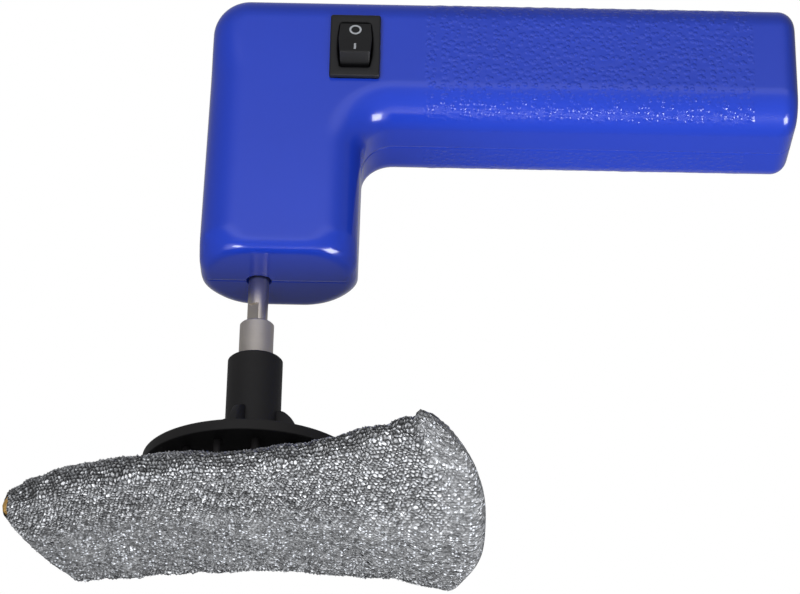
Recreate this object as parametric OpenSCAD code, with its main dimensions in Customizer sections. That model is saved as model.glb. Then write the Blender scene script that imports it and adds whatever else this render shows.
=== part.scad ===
// Hand-held cordless scrubber: an L-shaped casing, a geared motor and a soft scouring pad on a disc.
// Origin on the spindle axis at the pad's working face. +Z up the spindle, +X along the handle,
// -Y the side with the switch. Millimetres.

/* [Casing] */
// Spindle axis to the left side of the head
head_left = 16.9; // [16.5:0.1:24]
// Spindle axis to the right side of the head
head_right = 29; // [26:0.1:34]
// Casing from front to back
casing_depth = 42; // [41:0.1:54]
// Head from its bottom face to its top
head_h = 87; // [84:0.5:110]
// Handle from its underside to its top
handle_h = 41; // [38:0.1:50]
// Spindle axis to the end of the handle
handle_reach = 159; // [152:0.5:195]
// Wall of the casing
casing_wall = 2.2; // [1.8:0.1:2.6]
// Rounding of the long edges of the casing
casing_round = 11; // [8:0.5:12]
// Rounding round the bottom face of the head
bottom_round = 4; // [3:0.5:5]
// Rounding round the end face of the handle
end_round = 5; // [3:0.5:6]
// Concave blend between head and handle
elbow_round = 9.5; // [5:0.5:12]

/* [Shell screws] */
// Shank diameter of a shell screw
screw_d = 2.8; // [2.4:0.1:3]
// Length of a shell screw under its head
screw_len = 24; // [20:0.5:26]
// Head diameter of a shell screw
screw_head_d = 5; // [4.5:0.1:5.2]
// Height of a screw head
screw_head_h = 1.9; // [1.5:0.1:2.4]
// Seat of the heads behind the parting plane
screw_seat = 11.5; // [11:0.5:16]

/* [Switch] */
// Width of the switch bezel
bezel_w = 15; // [14.6:0.1:16]
// Height of the switch bezel
bezel_h = 21; // [20.4:0.1:24]
// How far the bezel stands off the casing
bezel_t = 2; // [1.5:0.1:2.5]
// Spindle axis to the switch centre
switch_x = 26.8; // [26:0.1:32]
// Switch centre above the middle of the handle
switch_lift = 1.2; // [0:0.1:1.5]
// Width of the switch body behind the bezel
switch_w = 13; // [12.6:0.1:13.6]
// Height of the switch body behind the bezel
switch_h = 19; // [18.8:0.1:19.8]
// Depth of the switch body behind the casing face
switch_depth = 12.5; // [12:0.1:15]
// Width of the rocker
rocker_w = 10; // [9.6:0.1:10.2]
// Half length of the rocker at its face
rocker_half = 5.9; // [5.5:0.1:6.2]
// Half length of the rocker at its back
rocker_back_half = 7.2; // [6.8:0.1:7.6]
// Tilt of the rocker away from its middle, at rest
rocker_tilt = 14; // [10:1:15]
// Slope of each half of the rocker's face
rocker_vee = 4; // [2:1:6]

/* [Gearbox] */
// Diameter of the gearbox
gearbox_d = 37; // [36.4:0.1:37.2]
// Wall of the gearbox housing
gearbox_wall = 1.5; // [1:0.1:1.8]
// Gear module
gear_module = 0.5; // [0.45:0.01:0.52]
// Teeth on each pinion
pinion_teeth = 10; // [10:1:11]
// Teeth on each wheel
wheel_teeth = 26; // [25:1:27]
// Spindle axis to the motor axis
motor_offset = 6; // [5.5:0.1:7]
// Thickness of the gearbox face plate
face_plate_t = 3; // [2.5:0.1:4]
// Thickness of the gearbox rear plate
rear_plate_t = 2; // [1.8:0.1:3]
// Shelf that the gearbox sits on, above the inside floor of the head
gearbox_lift = 6.8; // [6.6:0.1:9]
// Diameter of the fixed pins that carry the gears
gear_pin_d = 2; // [1.6:0.1:2.2]

/* [Motor] */
// Diameter of the motor can
motor_d = 24.4; // [23.6:0.1:24.8]
// Length of the motor can
motor_len = 31; // [30:0.5:34]
// Wall of the motor can
motor_wall = 1.2; // [1:0.1:1.4]
// Diameter of the motor shaft
motor_shaft_d = 2.3; // [2:0.1:2.4]
// Diameter of the armature
armature_d = 17.8; // [17:0.1:18]

/* [Battery] */
// Diameter of a cell
cell_d = 18.2; // [17.5:0.1:18.4]
// Length of a cell
cell_len = 65; // [60:0.5:66]
// Spindle axis to the near end of the cells
cell_x = 59; // [58:0.5:60]
// Bore of the charging jack
jack_bore_d = 5.6; // [5:0.1:5.8]
// Pin of the charging jack
jack_pin_d = 2.1; // [1.7:0.1:2.5]

/* [Spindle] */
// Diameter of the output shaft
shaft_d = 6; // [5.6:0.1:6.4]
// Depth of the flat on the output shaft
shaft_flat = 0.6; // [0.4:0.1:0.8]
// Hole in the casing that the shaft leaves by
spindle_hole_d = 7.6; // [7.2:0.1:9]
// Bare shaft between the casing and the sleeve
shaft_bare = 14.3; // [10:0.1:16]
// Sleeve diameter
sleeve_d = 10; // [9.4:0.1:11.2]
// Sleeve between its top and the hub
sleeve_bare = 11.5; // [8:0.1:14]
// Sleeve inside the hub
sleeve_sunk = 14; // [10:0.5:20]
// Hub diameter
hub_d = 16; // [15:0.1:19]
// Hub from the disc to its top
hub_h = 31.7; // [30:0.1:42]
// Disc diameter
disc_d = 62; // [58:0.5:74]
// Disc thickness
disc_t = 3.2; // [2.6:0.1:4]
// Length of the pegs under the disc
peg_len = 5.3; // [4:0.1:7]
// Number of pegs
peg_count = 14; // [10:1:18]

/* [Pad] */
// Pad thickness under the disc
pad_t = 15; // [12:0.5:20]
// Left end of the pad from the spindle axis
pad_left = 67; // [62:0.5:82]
// Right end of the pad from the spindle axis
pad_right = 69; // [64:0.5:83]
// Near edge of the pad from the spindle axis
pad_near = 38.5; // [36:0.5:46]
// Far edge of the pad from the spindle axis
pad_far = 42.5; // [38:0.5:48]
// Height that the near right corner curls up
pad_curl = 20; // [0:0.5:22]
// Thickness of the knitted cover
cover_t = 2; // [1.6:0.1:2.4]

/* [Fits] */
// Radial gap of a shaft that turns in a hole
run_gap = 0.05; // [0.03:0.01:0.08]
// Radial gap of a piece that is pressed or cast in
press_gap = 0.02; // [0.01:0.01:0.03]
// Gap between a piece and the rib that locates it
seat_gap = 0.25; // [0.15:0.05:0.3]
// Gap between moving faces
free_gap = 0.6; // [0.5:0.1:0.7]

/* [Hidden] */
$fn = 48;
far = 400;

// Heights up the spindle
disc_z = pad_t + peg_len;
disc_top = disc_z + disc_t;
hub_top = disc_top + hub_h;
sleeve_top = hub_top + sleeve_bare;
casing_z = sleeve_top + shaft_bare;
casing_top = casing_z + head_h;
handle_z = casing_top - handle_h;
floor_z = casing_z + casing_wall;
half_depth = casing_depth / 2;
handle_mid = handle_z + handle_h / 2;
switch_z = handle_mid + switch_lift;

// Gear train heights: output wheel lowest, motor pinion highest
gearbox_z = floor_z + gearbox_lift;
gearbox_r = gearbox_d / 2;
out_face = 4.5;
second_face = 3.5;
first_face = 3;
out_z = gearbox_z + face_plate_t + free_gap;
second_z = out_z + out_face + free_gap;
first_z = second_z + second_face + free_gap;
rear_plate_z = first_z + first_face + free_gap;
motor_z = rear_plate_z + rear_plate_t;

// Gear axes in plan
gear_span = gear_module * (pinion_teeth + wheel_teeth) / 2;
output_at = [0, 0];
motor_at = [motor_offset, 0];
second_turn = 60;
second_at = gear_span * [cos(second_turn), sin(second_turn)];
link = second_at - motor_at;
first_at = motor_at + link / 2
    + sqrt(gear_span ^ 2 - norm(link) ^ 2 / 4) * [link[1], -link[0]] / norm(link);
function turn_to(from, to) = atan2(to[1] - from[1], to[0] - from[0]);

// Motor heights
can_r = motor_d / 2;
can_top = motor_z + motor_len;
boss_r = 4.5;
boss_h = 1.5;
bush_r = 3;
core_z = motor_z + 7.5;
core_len = 14;
winding_h = 3.5;
commutator_z = core_z + core_len + winding_h + 0.6;
commutator_r = 2.8;
commutator_len = 4;
brush_gap = 0.1;
brush_size = [3, 2.6, 3];
tab_t = 0.5;
tab_w = 2.6;
tab_top = can_top + 7;
tab_x = commutator_r + brush_gap + brush_size[0];

// Cells lie side by side on a slant
cell_slant = 34;
cell_gap = 0.3;
cell_rib_in = 8;
cell_step = (cell_d + cell_gap) / 2 * [cos(cell_slant), sin(cell_slant)];
strap_t = 0.4;
board_size = [20, 18, 1.6];
board_x = cell_x + cell_len + 5;
board_z = handle_z + 6.6;
board_lip = 1;
board_rib_over = 4;
rib_t = 2;
jack_len = 13;
jack_x = handle_reach - jack_len;
jack_z = handle_mid;
jack_body_d = 11;
jack_nose_d = 8;
jack_rib_in = 4;

// Shell screw places, [x, z]: the head's corners, either side of the cells' near end, the far end
screw_boss_r = 3.7;
screw_in = 5.6;
screw_up = 3;
screw_drop = 6;
screw_near_x = cell_x - 13;
screw_far_x = board_x + 8;
screw_at = [[screw_in - head_left, floor_z + screw_up], [head_right - screw_in, floor_z + screw_up],
    [1.25 * screw_in - head_left, casing_top - 1.25 * screw_drop],
    [screw_near_x, handle_z + screw_drop], [screw_near_x, casing_top - screw_drop],
    [screw_far_x, casing_top - screw_drop]];

// Leads inside the casing
lead_r = 0.8;
lead_sides = 8;
lead_steps = 3;

// Rounded corner for hull() with its round end down
module round_foot(r, edge) {
    rotate_extrude($fn = 32)
        intersection() {
            square([r, r]);
            union() {
                translate([0, edge]) square([r, r]);
                square([r - edge, r]);
                translate([r - edge, edge]) circle(r = edge, $fn = 32);
            }
        }
}

// Head: round feet below, balls above
module head_block(inset) {
    r = casing_round - inset;
    left = inset - head_left + r;
    right = head_right - inset - r;
    y = half_depth - inset - r;
    hull()
        for (x = [left, right], side = [-1, 1]) {
            translate([x, side * y, casing_z + inset])
                round_foot(r, max(bottom_round - inset, 1));
            translate([x, side * y, casing_top - inset - r]) sphere(r = r, $fn = 32);
        }
}

// Handle: balls inside the head, round feet at the far end
module handle_block(inset) {
    r = casing_round - inset;
    left = inset - head_left + r;
    y = half_depth - inset - r;
    hull()
        for (z = [handle_z + inset + r, casing_top - inset - r], side = [-1, 1]) {
            translate([left, side * y, z]) sphere(r = r, $fn = 32);
            translate([handle_reach - inset, side * y, z])
                rotate([0, -90, 0]) round_foot(r, max(end_round - inset, 1));
        }
}

// Concave corner between head and handle, with the same long-edge rounding
module elbow(inset) {
    r = casing_round - inset;
    reach = 2 * casing_round;
    y = half_depth - inset;
    steps = 8;
    corner = [for (k = [0:steps]) 90 * k / steps];
    translate([head_right + elbow_round, 0, handle_z - elbow_round])
        rotate([-90, 0, 0])
            rotate_extrude(angle = 90, start = 180)
                translate([elbow_round + inset, 0])
                    polygon(concat(
                        [for (a = corner) [r * (1 - sin(a)), r * (1 - cos(a)) - y]],
                        [for (a = corner) [r * (1 - cos(a)), y - r * (1 - sin(a))]],
                        [[reach, y], [reach, -y]]));
}

// The head sits a hair inside the handle's faces, and the elbow inside both
module casing_block() {
    hair = 0.04;
    head_block(hair);
    handle_block(0);
    elbow(2 * hair);
}

// Plate across the head with a round hole
module head_rib(z, x, r) {
    difference() {
        translate([-head_left, -half_depth, z])
            cube([head_left + head_right, casing_depth, rib_t]);
        translate([x, 0, z - rib_t]) cylinder(r = r, h = 3 * rib_t);
    }
}

// Plate across the handle, cut to the cells
module handle_rib(x) {
    difference() {
        translate([x, -half_depth, handle_z]) cube([rib_t, casing_depth, handle_h]);
        for (side = [-1, 1])
            translate([x - rib_t, side * cell_step[0], handle_mid + side * cell_step[1]])
                rotate([0, 90, 0]) cylinder(d = cell_d + 2 * seat_gap, h = 3 * rib_t);
        translate([x - rib_t, -lead_r * 4, handle_mid + cell_d / 2])
            cube([3 * rib_t, lead_r * 8, handle_h]);
    }
}

// Low plate across the handle with a slot for one edge of the board
module board_rib(x) {
    difference() {
        translate([x, -half_depth, handle_z])
            cube([rib_t, casing_depth, board_z + board_rib_over - handle_z]);
        translate([board_x - seat_gap, -board_size[1] / 2 - seat_gap, board_z - seat_gap])
            cube([board_size[0] + 2 * seat_gap, board_size[1] + 2 * seat_gap,
                board_size[2] + 2 * seat_gap]);
    }
}

// Cradle round the charging jack
module jack_rib(x) {
    difference() {
        translate([x, -half_depth, handle_z]) cube([rib_t, casing_depth, handle_h]);
        translate([x - rib_t, 0, jack_z])
            rotate([0, 90, 0]) cylinder(d = jack_body_d + 2 * seat_gap, h = 3 * rib_t);
        translate([x - rib_t, -half_depth, casing_top - casing_round])
            cube([3 * rib_t, casing_depth, casing_round]);
    }
}

// Everything that stands inside the shells
module shell_ribs() {
    head_rib(gearbox_z - rib_t, 0, output_boss_r + seat_gap);
    head_rib((gearbox_z + rear_plate_z) / 2, motor_offset, gearbox_r + seat_gap / 2);
    head_rib(motor_z + motor_len * 0.7, motor_offset, can_r + seat_gap);
    handle_rib(cell_x + cell_rib_in);
    handle_rib(cell_x + cell_len - cell_rib_in - rib_t);
    board_rib(board_x + board_lip - rib_t);
    board_rib(board_x + board_size[0] - board_lip);
    jack_rib(handle_reach - casing_wall - jack_rib_in);
    for (p = screw_at)
        translate([p[0], half_depth, p[1]])
            rotate([90, 0, 0]) cylinder(r = screw_boss_r, h = casing_depth);
}

module casing_hollow() {
    difference() {
        union() {
            head_block(casing_wall);
            handle_block(casing_wall);
        }
        shell_ribs();
    }
}

// Holes that both shells share
module shell_holes() {
    translate([0, 0, casing_z - casing_wall])
        cylinder(d = spindle_hole_d, h = 3 * casing_wall);
    translate([handle_reach - 3 * casing_wall, 0, jack_z])
        rotate([0, 90, 0]) cylinder(d = jack_nose_d + 2 * seat_gap, h = 4 * casing_wall);
    for (p = screw_at)
        translate([p[0], screw_seat, p[1]])
            rotate([90, 0, 0])
                cylinder(d = screw_d + 2 * run_gap, h = screw_len + free_gap);
}

module front_shell() {
    color("royalblue")
        intersection() {
            translate([-far / 2, -far, 0]) cube(far);
            difference() {
                casing_block();
                casing_hollow();
                shell_holes();
                translate([switch_x, -half_depth, switch_z])
                    cube([switch_w + 2 * seat_gap, 4 * casing_wall, switch_h + 2 * seat_gap],
                        center = true);
            }
        }
}

module rear_shell() {
    color("royalblue")
        intersection() {
            translate([-far / 2, 0, 0]) cube(far);
            difference() {
                casing_block();
                casing_hollow();
                shell_holes();
                for (p = screw_at)
                    translate([p[0], screw_seat + half_depth, p[1]])
                        rotate([90, 0, 0])
                            cylinder(d = screw_head_d + 2 * press_gap, h = half_depth);
            }
        }
}

// Cross-head screw lying along -Y with its head's underside at the origin
module cross_screw(d, len, head_d, head_h) {
    slot = head_d / 6;
    rotate([90, 0, 0]) cylinder(d = d, h = len);
    difference() {
        rotate([-90, 0, 0]) cylinder(d = head_d, h = head_h);
        for (turn = [0, 90])
            rotate([0, turn, 0])
                translate([-head_d / 3, head_h / 2, -slot / 2])
                    cube([head_d * 2 / 3, head_h, slot]);
    }
}

module shell_screws() {
    color("dimgray")
        for (p = screw_at)
            translate([p[0], screw_seat, p[1]])
                cross_screw(screw_d, screw_len, screw_head_d, screw_head_h);
}

// Rocker switch
rocker_pivot_y = bezel_t + half_depth - 4;
rocker_front = 5.6;
rocker_back = 1;
rocker_pin_r = 1;
rocker_pin_len = 0.8;
switch_open_w = rocker_w + 2 * seat_gap;
switch_open_h = 2 * (rocker_back_half + 0.5);
switch_base_t = 2;

module switch_housing() {
    back = half_depth - switch_depth;
    color("#202022")
        difference() {
            union() {
                translate([switch_x - bezel_w / 2, -half_depth - bezel_t, switch_z - bezel_h / 2])
                    cube([bezel_w, bezel_t, bezel_h]);
                translate([switch_x - switch_w / 2, -half_depth, switch_z - switch_h / 2])
                    cube([switch_w, switch_depth, switch_h]);
            }
            translate([switch_x - switch_open_w / 2, -half_depth - 2 * bezel_t,
                switch_z - switch_open_h / 2])
                cube([switch_open_w, switch_depth + 2 * bezel_t - switch_base_t, switch_open_h]);
            translate([switch_x - switch_w, -rocker_pivot_y, switch_z])
                rotate([0, 90, 0]) cylinder(r = rocker_pin_r + run_gap, h = 2 * switch_w);
            for (side = [-1, 1])
                translate([switch_x, -back, switch_z + side * spade_step])
                    cube([spade_w + 2 * press_gap, 3 * switch_base_t, spade_t + 2 * press_gap],
                        center = true);
        }
}
spade_w = 4.8;
spade_t = 0.8;
spade_step = 4;
spade_out = 7;
spade_in = 1;

module switch_terminals() {
    back = half_depth - switch_depth;
    color("gold")
        for (side = [-1, 1])
            translate([switch_x - spade_w / 2, -back - switch_base_t - spade_in,
                switch_z + side * spade_step - spade_t / 2])
                cube([spade_w, switch_base_t + spade_in + spade_out, spade_t]);
}

module rocker_button() {
    rise = rocker_half * tan(rocker_vee);
    color("#18181a")
        translate([switch_x, -rocker_pivot_y, switch_z])
            rotate([-rocker_tilt, 0, 0]) {
                translate([rocker_w / 2, 0, 0])
                    rotate([0, -90, 0])
                        linear_extrude(rocker_w)
                            polygon([[0, -rocker_front], [rocker_half, -rocker_front - rise],
                                [rocker_back_half, rocker_back], [-rocker_back_half, rocker_back],
                                [-rocker_half, -rocker_front - rise]]);
                translate([-rocker_w / 2 - rocker_pin_len, 0, 0])
                    rotate([0, 90, 0])
                        cylinder(r = rocker_pin_r, h = rocker_w + 2 * rocker_pin_len);
            }
}

// Involute gear in plan with a tooth centred on +X
addendum = 0.85;
dedendum = 1.2;
pressure = 20;
backlash = 0.1;
function involute(a) = tan(a) * 180 / PI - a;
function flank_turn(teeth, r) =
    let (base = gear_module * teeth / 2 * cos(pressure))
    90 / teeth * (1 - backlash) + involute(pressure) - involute(acos(min(1, base / r)));
module gear_shape(teeth) {
    pitch_r = gear_module * teeth / 2;
    root = pitch_r - dedendum * gear_module;
    tip = pitch_r + addendum * gear_module;
    steps = 5;
    radii = [for (i = [0:steps]) root + (tip - root) * i / steps];
    polygon([for (k = [0:teeth - 1]) each concat(
        [for (i = [0:steps])
            let (a = 360 * k / teeth - flank_turn(teeth, radii[i]))
            radii[i] * [cos(a), sin(a)]],
        [for (i = [steps:-1:0])
            let (a = 360 * k / teeth + flank_turn(teeth, radii[i]))
            radii[i] * [cos(a), sin(a)]])]);
}

// Gear at a place, with a tooth, or for half a tooth more a gap, towards a turn
module gear(at, z, h, teeth, turn, gap) {
    translate([at[0], at[1], z])
        rotate(turn + (gap ? 180 / teeth : 0))
            linear_extrude(h) gear_shape(teeth);
}

module gear_bore(at, d) {
    translate([at[0], at[1], gearbox_z]) cylinder(d = d, h = motor_len);
}

module motor_pinion() {
    color("gold")
        difference() {
            gear(motor_at, first_z, first_face, pinion_teeth, turn_to(motor_at, first_at), true);
            gear_bore(motor_at, motor_shaft_d + 2 * press_gap);
        }
}

module first_gear() {
    color("silver")
        difference() {
            union() {
                gear(first_at, first_z, first_face, wheel_teeth,
                    turn_to(first_at, motor_at), false);
                gear(first_at, second_z, second_face + 2 * free_gap, pinion_teeth,
                    turn_to(first_at, second_at), true);
            }
            gear_bore(first_at, gear_pin_d + 2 * run_gap);
        }
}

module second_gear() {
    color("silver")
        difference() {
            union() {
                gear(second_at, second_z, second_face, wheel_teeth,
                    turn_to(second_at, first_at), false);
                gear(second_at, out_z, out_face + 2 * free_gap, pinion_teeth,
                    turn_to(second_at, output_at), true);
            }
            gear_bore(second_at, gear_pin_d + 2 * run_gap);
        }
}

module output_gear() {
    color("silver")
        difference() {
            gear(output_at, out_z, out_face, wheel_teeth, turn_to(output_at, second_at), false);
            gear_bore(output_at, shaft_d + 2 * press_gap);
        }
}

// Gearbox
bush_wall = 1.5;
out_bush_r = shaft_d / 2 + bush_wall;
output_boss_r = out_bush_r + bush_wall;
output_boss_h = gearbox_lift - 1.2;
screw_ring_r = gearbox_r - gearbox_wall - 1.7;
gearbox_screw_d = 2;
gearbox_screw_turns = [150, 250, 330];
gearbox_screw_head_d = 3.4;
gearbox_screw_head_h = 1.2;
module at_gearbox_screws() {
    for (turn = gearbox_screw_turns)
        translate([motor_offset + screw_ring_r * cos(turn), screw_ring_r * sin(turn), 0])
            children();
}

pin_sink = 2;
module gear_pin_bores(gap) {
    for (at = [first_at, second_at])
        translate([at[0], at[1], gearbox_z + face_plate_t - pin_sink])
            cylinder(d = gear_pin_d + 2 * gap, h = rear_plate_z - gearbox_z + pin_sink);
}

module gear_pins() {
    color("lightgray")
        for (at = [first_at, second_at])
            translate([at[0], at[1], gearbox_z + face_plate_t - pin_sink])
                cylinder(d = gear_pin_d,
                    h = rear_plate_z + rear_plate_t / 2 - gearbox_z - face_plate_t + pin_sink);
}

module gearbox_face_plate() {
    color("lightgray")
        difference() {
            union() {
                translate([motor_offset, 0, gearbox_z])
                    cylinder(r = gearbox_r, h = face_plate_t, $fn = 96);
                translate([0, 0, gearbox_z - output_boss_h])
                    cylinder(r = output_boss_r, h = output_boss_h + face_plate_t);
            }
            translate([0, 0, gearbox_z - 2 * output_boss_h])
                cylinder(r = out_bush_r + press_gap, h = 4 * output_boss_h);
            gear_pin_bores(press_gap);
            translate([0, 0, gearbox_z - face_plate_t])
                at_gearbox_screws()
                    cylinder(d = gearbox_screw_d + 2 * press_gap, h = 3 * face_plate_t);
        }
}

module output_bush() {
    color("peru")
        translate([0, 0, gearbox_z - output_boss_h])
            difference() {
                cylinder(r = out_bush_r, h = output_boss_h + face_plate_t);
                translate([0, 0, -output_boss_h])
                    cylinder(d = shaft_d + 2 * run_gap, h = 4 * output_boss_h);
            }
}

module gearbox_housing() {
    z = gearbox_z + face_plate_t;
    color("gainsboro")
        translate([motor_offset, 0, z])
            difference() {
                cylinder(r = gearbox_r, h = rear_plate_z - z, $fn = 96);
                translate([0, 0, -z])
                    cylinder(r = gearbox_r - gearbox_wall, h = 3 * z, $fn = 96);
            }
}

module gearbox_rear_plate() {
    color("lightgray")
        difference() {
            translate([motor_offset, 0, rear_plate_z])
                cylinder(r = gearbox_r, h = rear_plate_t, $fn = 96);
            translate([motor_offset, 0, gearbox_z])
                cylinder(r = boss_r + press_gap, h = motor_len);
            for (at = [first_at, second_at])
                translate([at[0], at[1], rear_plate_z - rear_plate_t])
                    cylinder(d = gear_pin_d + 2 * press_gap, h = rear_plate_t * 3 / 2);
            translate([0, 0, rear_plate_z - rear_plate_t])
                at_gearbox_screws()
                    cylinder(d = gearbox_screw_d + 2 * press_gap, h = 3 * rear_plate_t);
            at_motor_screws() motor_screw(press_gap);
        }
}

module gearbox_screws() {
    color("dimgray")
        at_gearbox_screws()
            translate([0, 0, motor_z])
                rotate([90, 0, 0])
                    cross_screw(gearbox_screw_d, motor_z - gearbox_z, gearbox_screw_head_d,
                        gearbox_screw_head_h);
}

// Countersunk screws that hold the can to the rear plate
motor_screw_ring_r = 8;
motor_screw_d = 2;
motor_screw_head_d = 3.8;
module at_motor_screws() {
    for (turn = [70, 250])
        translate([motor_offset + motor_screw_ring_r * cos(turn),
            motor_screw_ring_r * sin(turn), rear_plate_z])
            children();
}
module motor_screw(gap) {
    head_h = (motor_screw_head_d - motor_screw_d) / 2;
    cylinder(d1 = motor_screw_head_d + 2 * gap, d2 = motor_screw_d + 2 * gap, h = head_h);
    translate([0, 0, head_h / 2])
        cylinder(d = motor_screw_d + 2 * gap, h = rear_plate_t + 3 - head_h / 2);
}
module motor_screws() {
    color("dimgray") at_motor_screws() motor_screw(0);
}

// Motor
module at_motor(z) {
    translate([motor_offset, 0, z]) children();
}

module motor_can() {
    color("silver")
        difference() {
            union() {
                at_motor(motor_z) cylinder(r = can_r, h = motor_len);
                at_motor(motor_z - boss_h) cylinder(r = boss_r, h = boss_h + motor_wall);
            }
            at_motor(motor_z + motor_wall) cylinder(r = can_r - motor_wall, h = motor_len);
            at_motor(gearbox_z) cylinder(r = bush_r + press_gap, h = motor_len);
            at_motor_screws() motor_screw(press_gap);
        }
}

module motor_magnets() {
    outer = can_r - motor_wall - press_gap;
    inner = armature_d / 2 + free_gap;
    sweep = 130;
    color("darkslategray")
        for (turn = [0, 180])
            at_motor(core_z - 2)
                rotate(turn - sweep / 2)
                    rotate_extrude(angle = sweep)
                        translate([inner, 0]) square([outer - inner, core_len + 4]);
}

module bush_ring(z, h) {
    at_motor(z)
        difference() {
            cylinder(r = bush_r, h = h);
            translate([0, 0, -h]) cylinder(d = motor_shaft_d + 2 * run_gap, h = 3 * h);
        }
}
cap_t = 1.5;
cap_plug = 1;
cap_boss_r = 4.2;
cap_boss_h = 2.5;
module motor_bushes() {
    color("peru") {
        bush_ring(motor_z - boss_h, boss_h + motor_wall);
        bush_ring(can_top - cap_plug, cap_plug + cap_t + cap_boss_h);
    }
}

module motor_end_cap() {
    color("#303034")
        difference() {
            union() {
                at_motor(can_top - cap_plug)
                    cylinder(r = can_r - motor_wall - press_gap, h = 2 * cap_plug);
                at_motor(can_top) cylinder(r = can_r, h = cap_t);
                at_motor(can_top) cylinder(r = cap_boss_r, h = cap_t + cap_boss_h);
            }
            at_motor(can_top - 2 * cap_plug)
                cylinder(r = bush_r + press_gap, h = motor_len);
            for (side = [-1, 1])
                at_motor(can_top)
                    translate([side * (tab_x + tab_t / 2), 0, 0])
                        cube([tab_t + 2 * press_gap, tab_w + 2 * press_gap, motor_len],
                            center = true);
        }
}

brush_z = commutator_z + (commutator_len - brush_size[2]) / 2;
module motor_brushes() {
    color("#222222")
        for (side = [0, 180])
            at_motor(brush_z)
                rotate(side)
                    translate([commutator_r + brush_gap, -brush_size[1] / 2, 0])
                        cube(brush_size);
}

module motor_terminals() {
    color("gold")
        for (side = [0, 180])
            at_motor(brush_z)
                rotate(side)
                    translate([tab_x, -tab_w / 2, 0]) cube([tab_t, tab_w, tab_top - brush_z]);
}

shaft_top = can_top + cap_t + cap_boss_h + 1;
module rotor_shaft() {
    color("lightgray") at_motor(first_z) cylinder(d = motor_shaft_d, h = shaft_top - first_z);
}

module rotor_ring(z, r, h) {
    at_motor(z)
        difference() {
            cylinder(r = r, h = h);
            translate([0, 0, -h]) cylinder(d = motor_shaft_d + 2 * press_gap, h = 3 * h);
        }
}

module armature_core() {
    slot = 2.4;
    color("slategray")
        difference() {
            rotor_ring(core_z, armature_d / 2, core_len);
            for (turn = [0, 120, 240])
                at_motor(core_z)
                    rotate(turn)
                        translate([armature_d / 4, -slot / 2, -core_len])
                            cube([armature_d, slot, 3 * core_len]);
        }
}

module armature_windings() {
    r = armature_d / 2 - 1.4;
    color("chocolate") {
        rotor_ring(core_z - winding_h, r, winding_h);
        rotor_ring(core_z + core_len, r, winding_h);
    }
}

module commutator() {
    color("darkorange") rotor_ring(commutator_z, commutator_r, commutator_len);
}

// Cells on a slant, joined at the far end
module cell(side) {
    translate([cell_x, side * cell_step[0], handle_mid + side * cell_step[1]])
        rotate([0, 90, 0])
            difference() {
                cylinder(d = cell_d, h = cell_len);
                translate([0, 0, side > 0 ? 0 : cell_len])
                    rotate_extrude() translate([cell_d / 4, -0.5]) square([cell_d / 8, 1]);
            }
}
module cell_1() {
    color("seagreen") cell(1);
}
module cell_2() {
    color("seagreen") cell(-1);
}

module cell_straps() {
    tab = 7;
    color("lightgray") {
        translate([cell_x + cell_len, 0, handle_mid])
            rotate([cell_slant, 0, 0])
                translate([0, -cell_d / 2 - tab / 2, -tab / 2])
                    cube([strap_t, cell_d + tab, tab]);
        for (side = [-1, 1])
            translate([cell_x - strap_t, side * cell_step[0] - tab / 2,
                handle_mid + side * cell_step[1] - tab / 2])
                cube([strap_t, tab, tab]);
    }
}

// Charging board and jack
module charge_board() {
    color("darkgreen")
        translate([board_x, -board_size[1] / 2, board_z]) cube(board_size);
}

module board_chips() {
    color("#1c1c1c") {
        translate([board_x + 4, -6, board_z + board_size[2]]) cube([5, 4, 1.5]);
        translate([board_x + 11, 0, board_z + board_size[2]]) cube([4, 5, 1.2]);
        translate([board_x + 4, 3, board_z + board_size[2]]) cube([2, 3, 1]);
    }
}

module charge_jack() {
    nose = casing_wall + 0.6;
    color("#202022")
        translate([jack_x, 0, jack_z])
            rotate([0, 90, 0])
                difference() {
                    union() {
                        cylinder(d = jack_body_d, h = jack_len - nose);
                        cylinder(d = jack_nose_d, h = jack_len - 0.3);
                    }
                    translate([0, 0, casing_wall]) cylinder(d = jack_bore_d, h = jack_len);
                    translate([0, 0, -casing_wall])
                        cylinder(d = jack_pin_d + 2 * press_gap, h = jack_len);
                }
}

module jack_pin() {
    color("silver")
        translate([jack_x, 0, jack_z])
            rotate([0, 90, 0]) cylinder(d = jack_pin_d, h = jack_len - casing_wall);
}

// Insulated leads: a smooth tube through points chosen by hand
function blend(a, b, c, d, t) = 0.5 * (2 * b + (c - a) * t + (2 * a - 5 * b + 4 * c - d) * t ^ 2
    + (3 * b - a - 3 * c + d) * t ^ 3);
function route(p) =
    let (n = len(p) - 1)
    [for (i = [0:n - 1], k = [0:lead_steps - 1])
        blend(p[max(0, i - 1)], p[i], p[i + 1], p[min(n, i + 2)], k / lead_steps), p[n]];
function along(r, i) =
    let (n = len(r) - 1)
    i == 0 ? r[1] - r[0] : i == n ? r[n] - r[n - 1] : r[i + 1] - r[i - 1];
function lead_ring(p, way, turn) =
    let (w = way / norm(way), side = cross(w, turn), a = side / norm(side), b = cross(a, w))
    [for (k = [0:lead_sides - 1])
        p + lead_r * (cos(360 * k / lead_sides) * a + sin(360 * k / lead_sides) * b)];
module lead(points, start_way, end_way, turn) {
    r = route(points);
    n = len(r);
    rings = [for (i = [0:n - 1])
        lead_ring(r[i], i == 0 ? start_way : i == n - 1 ? end_way : along(r, i), turn)];
    s = lead_sides;
    polyhedron([for (ring = rings) each ring], concat(
        [for (i = [0:n - 2], k = [0:s - 1]) each
            let (a = i * s + k, b = i * s + (k + 1) % s)
            [[a, b, b + s], [a, b + s, a + s]]],
        [for (k = [1:s - 2]) [0, k + 1, k]],
        [for (k = [1:s - 2]) [(n - 1) * s, (n - 1) * s + k, (n - 1) * s + k + 1]]));
}

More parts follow.
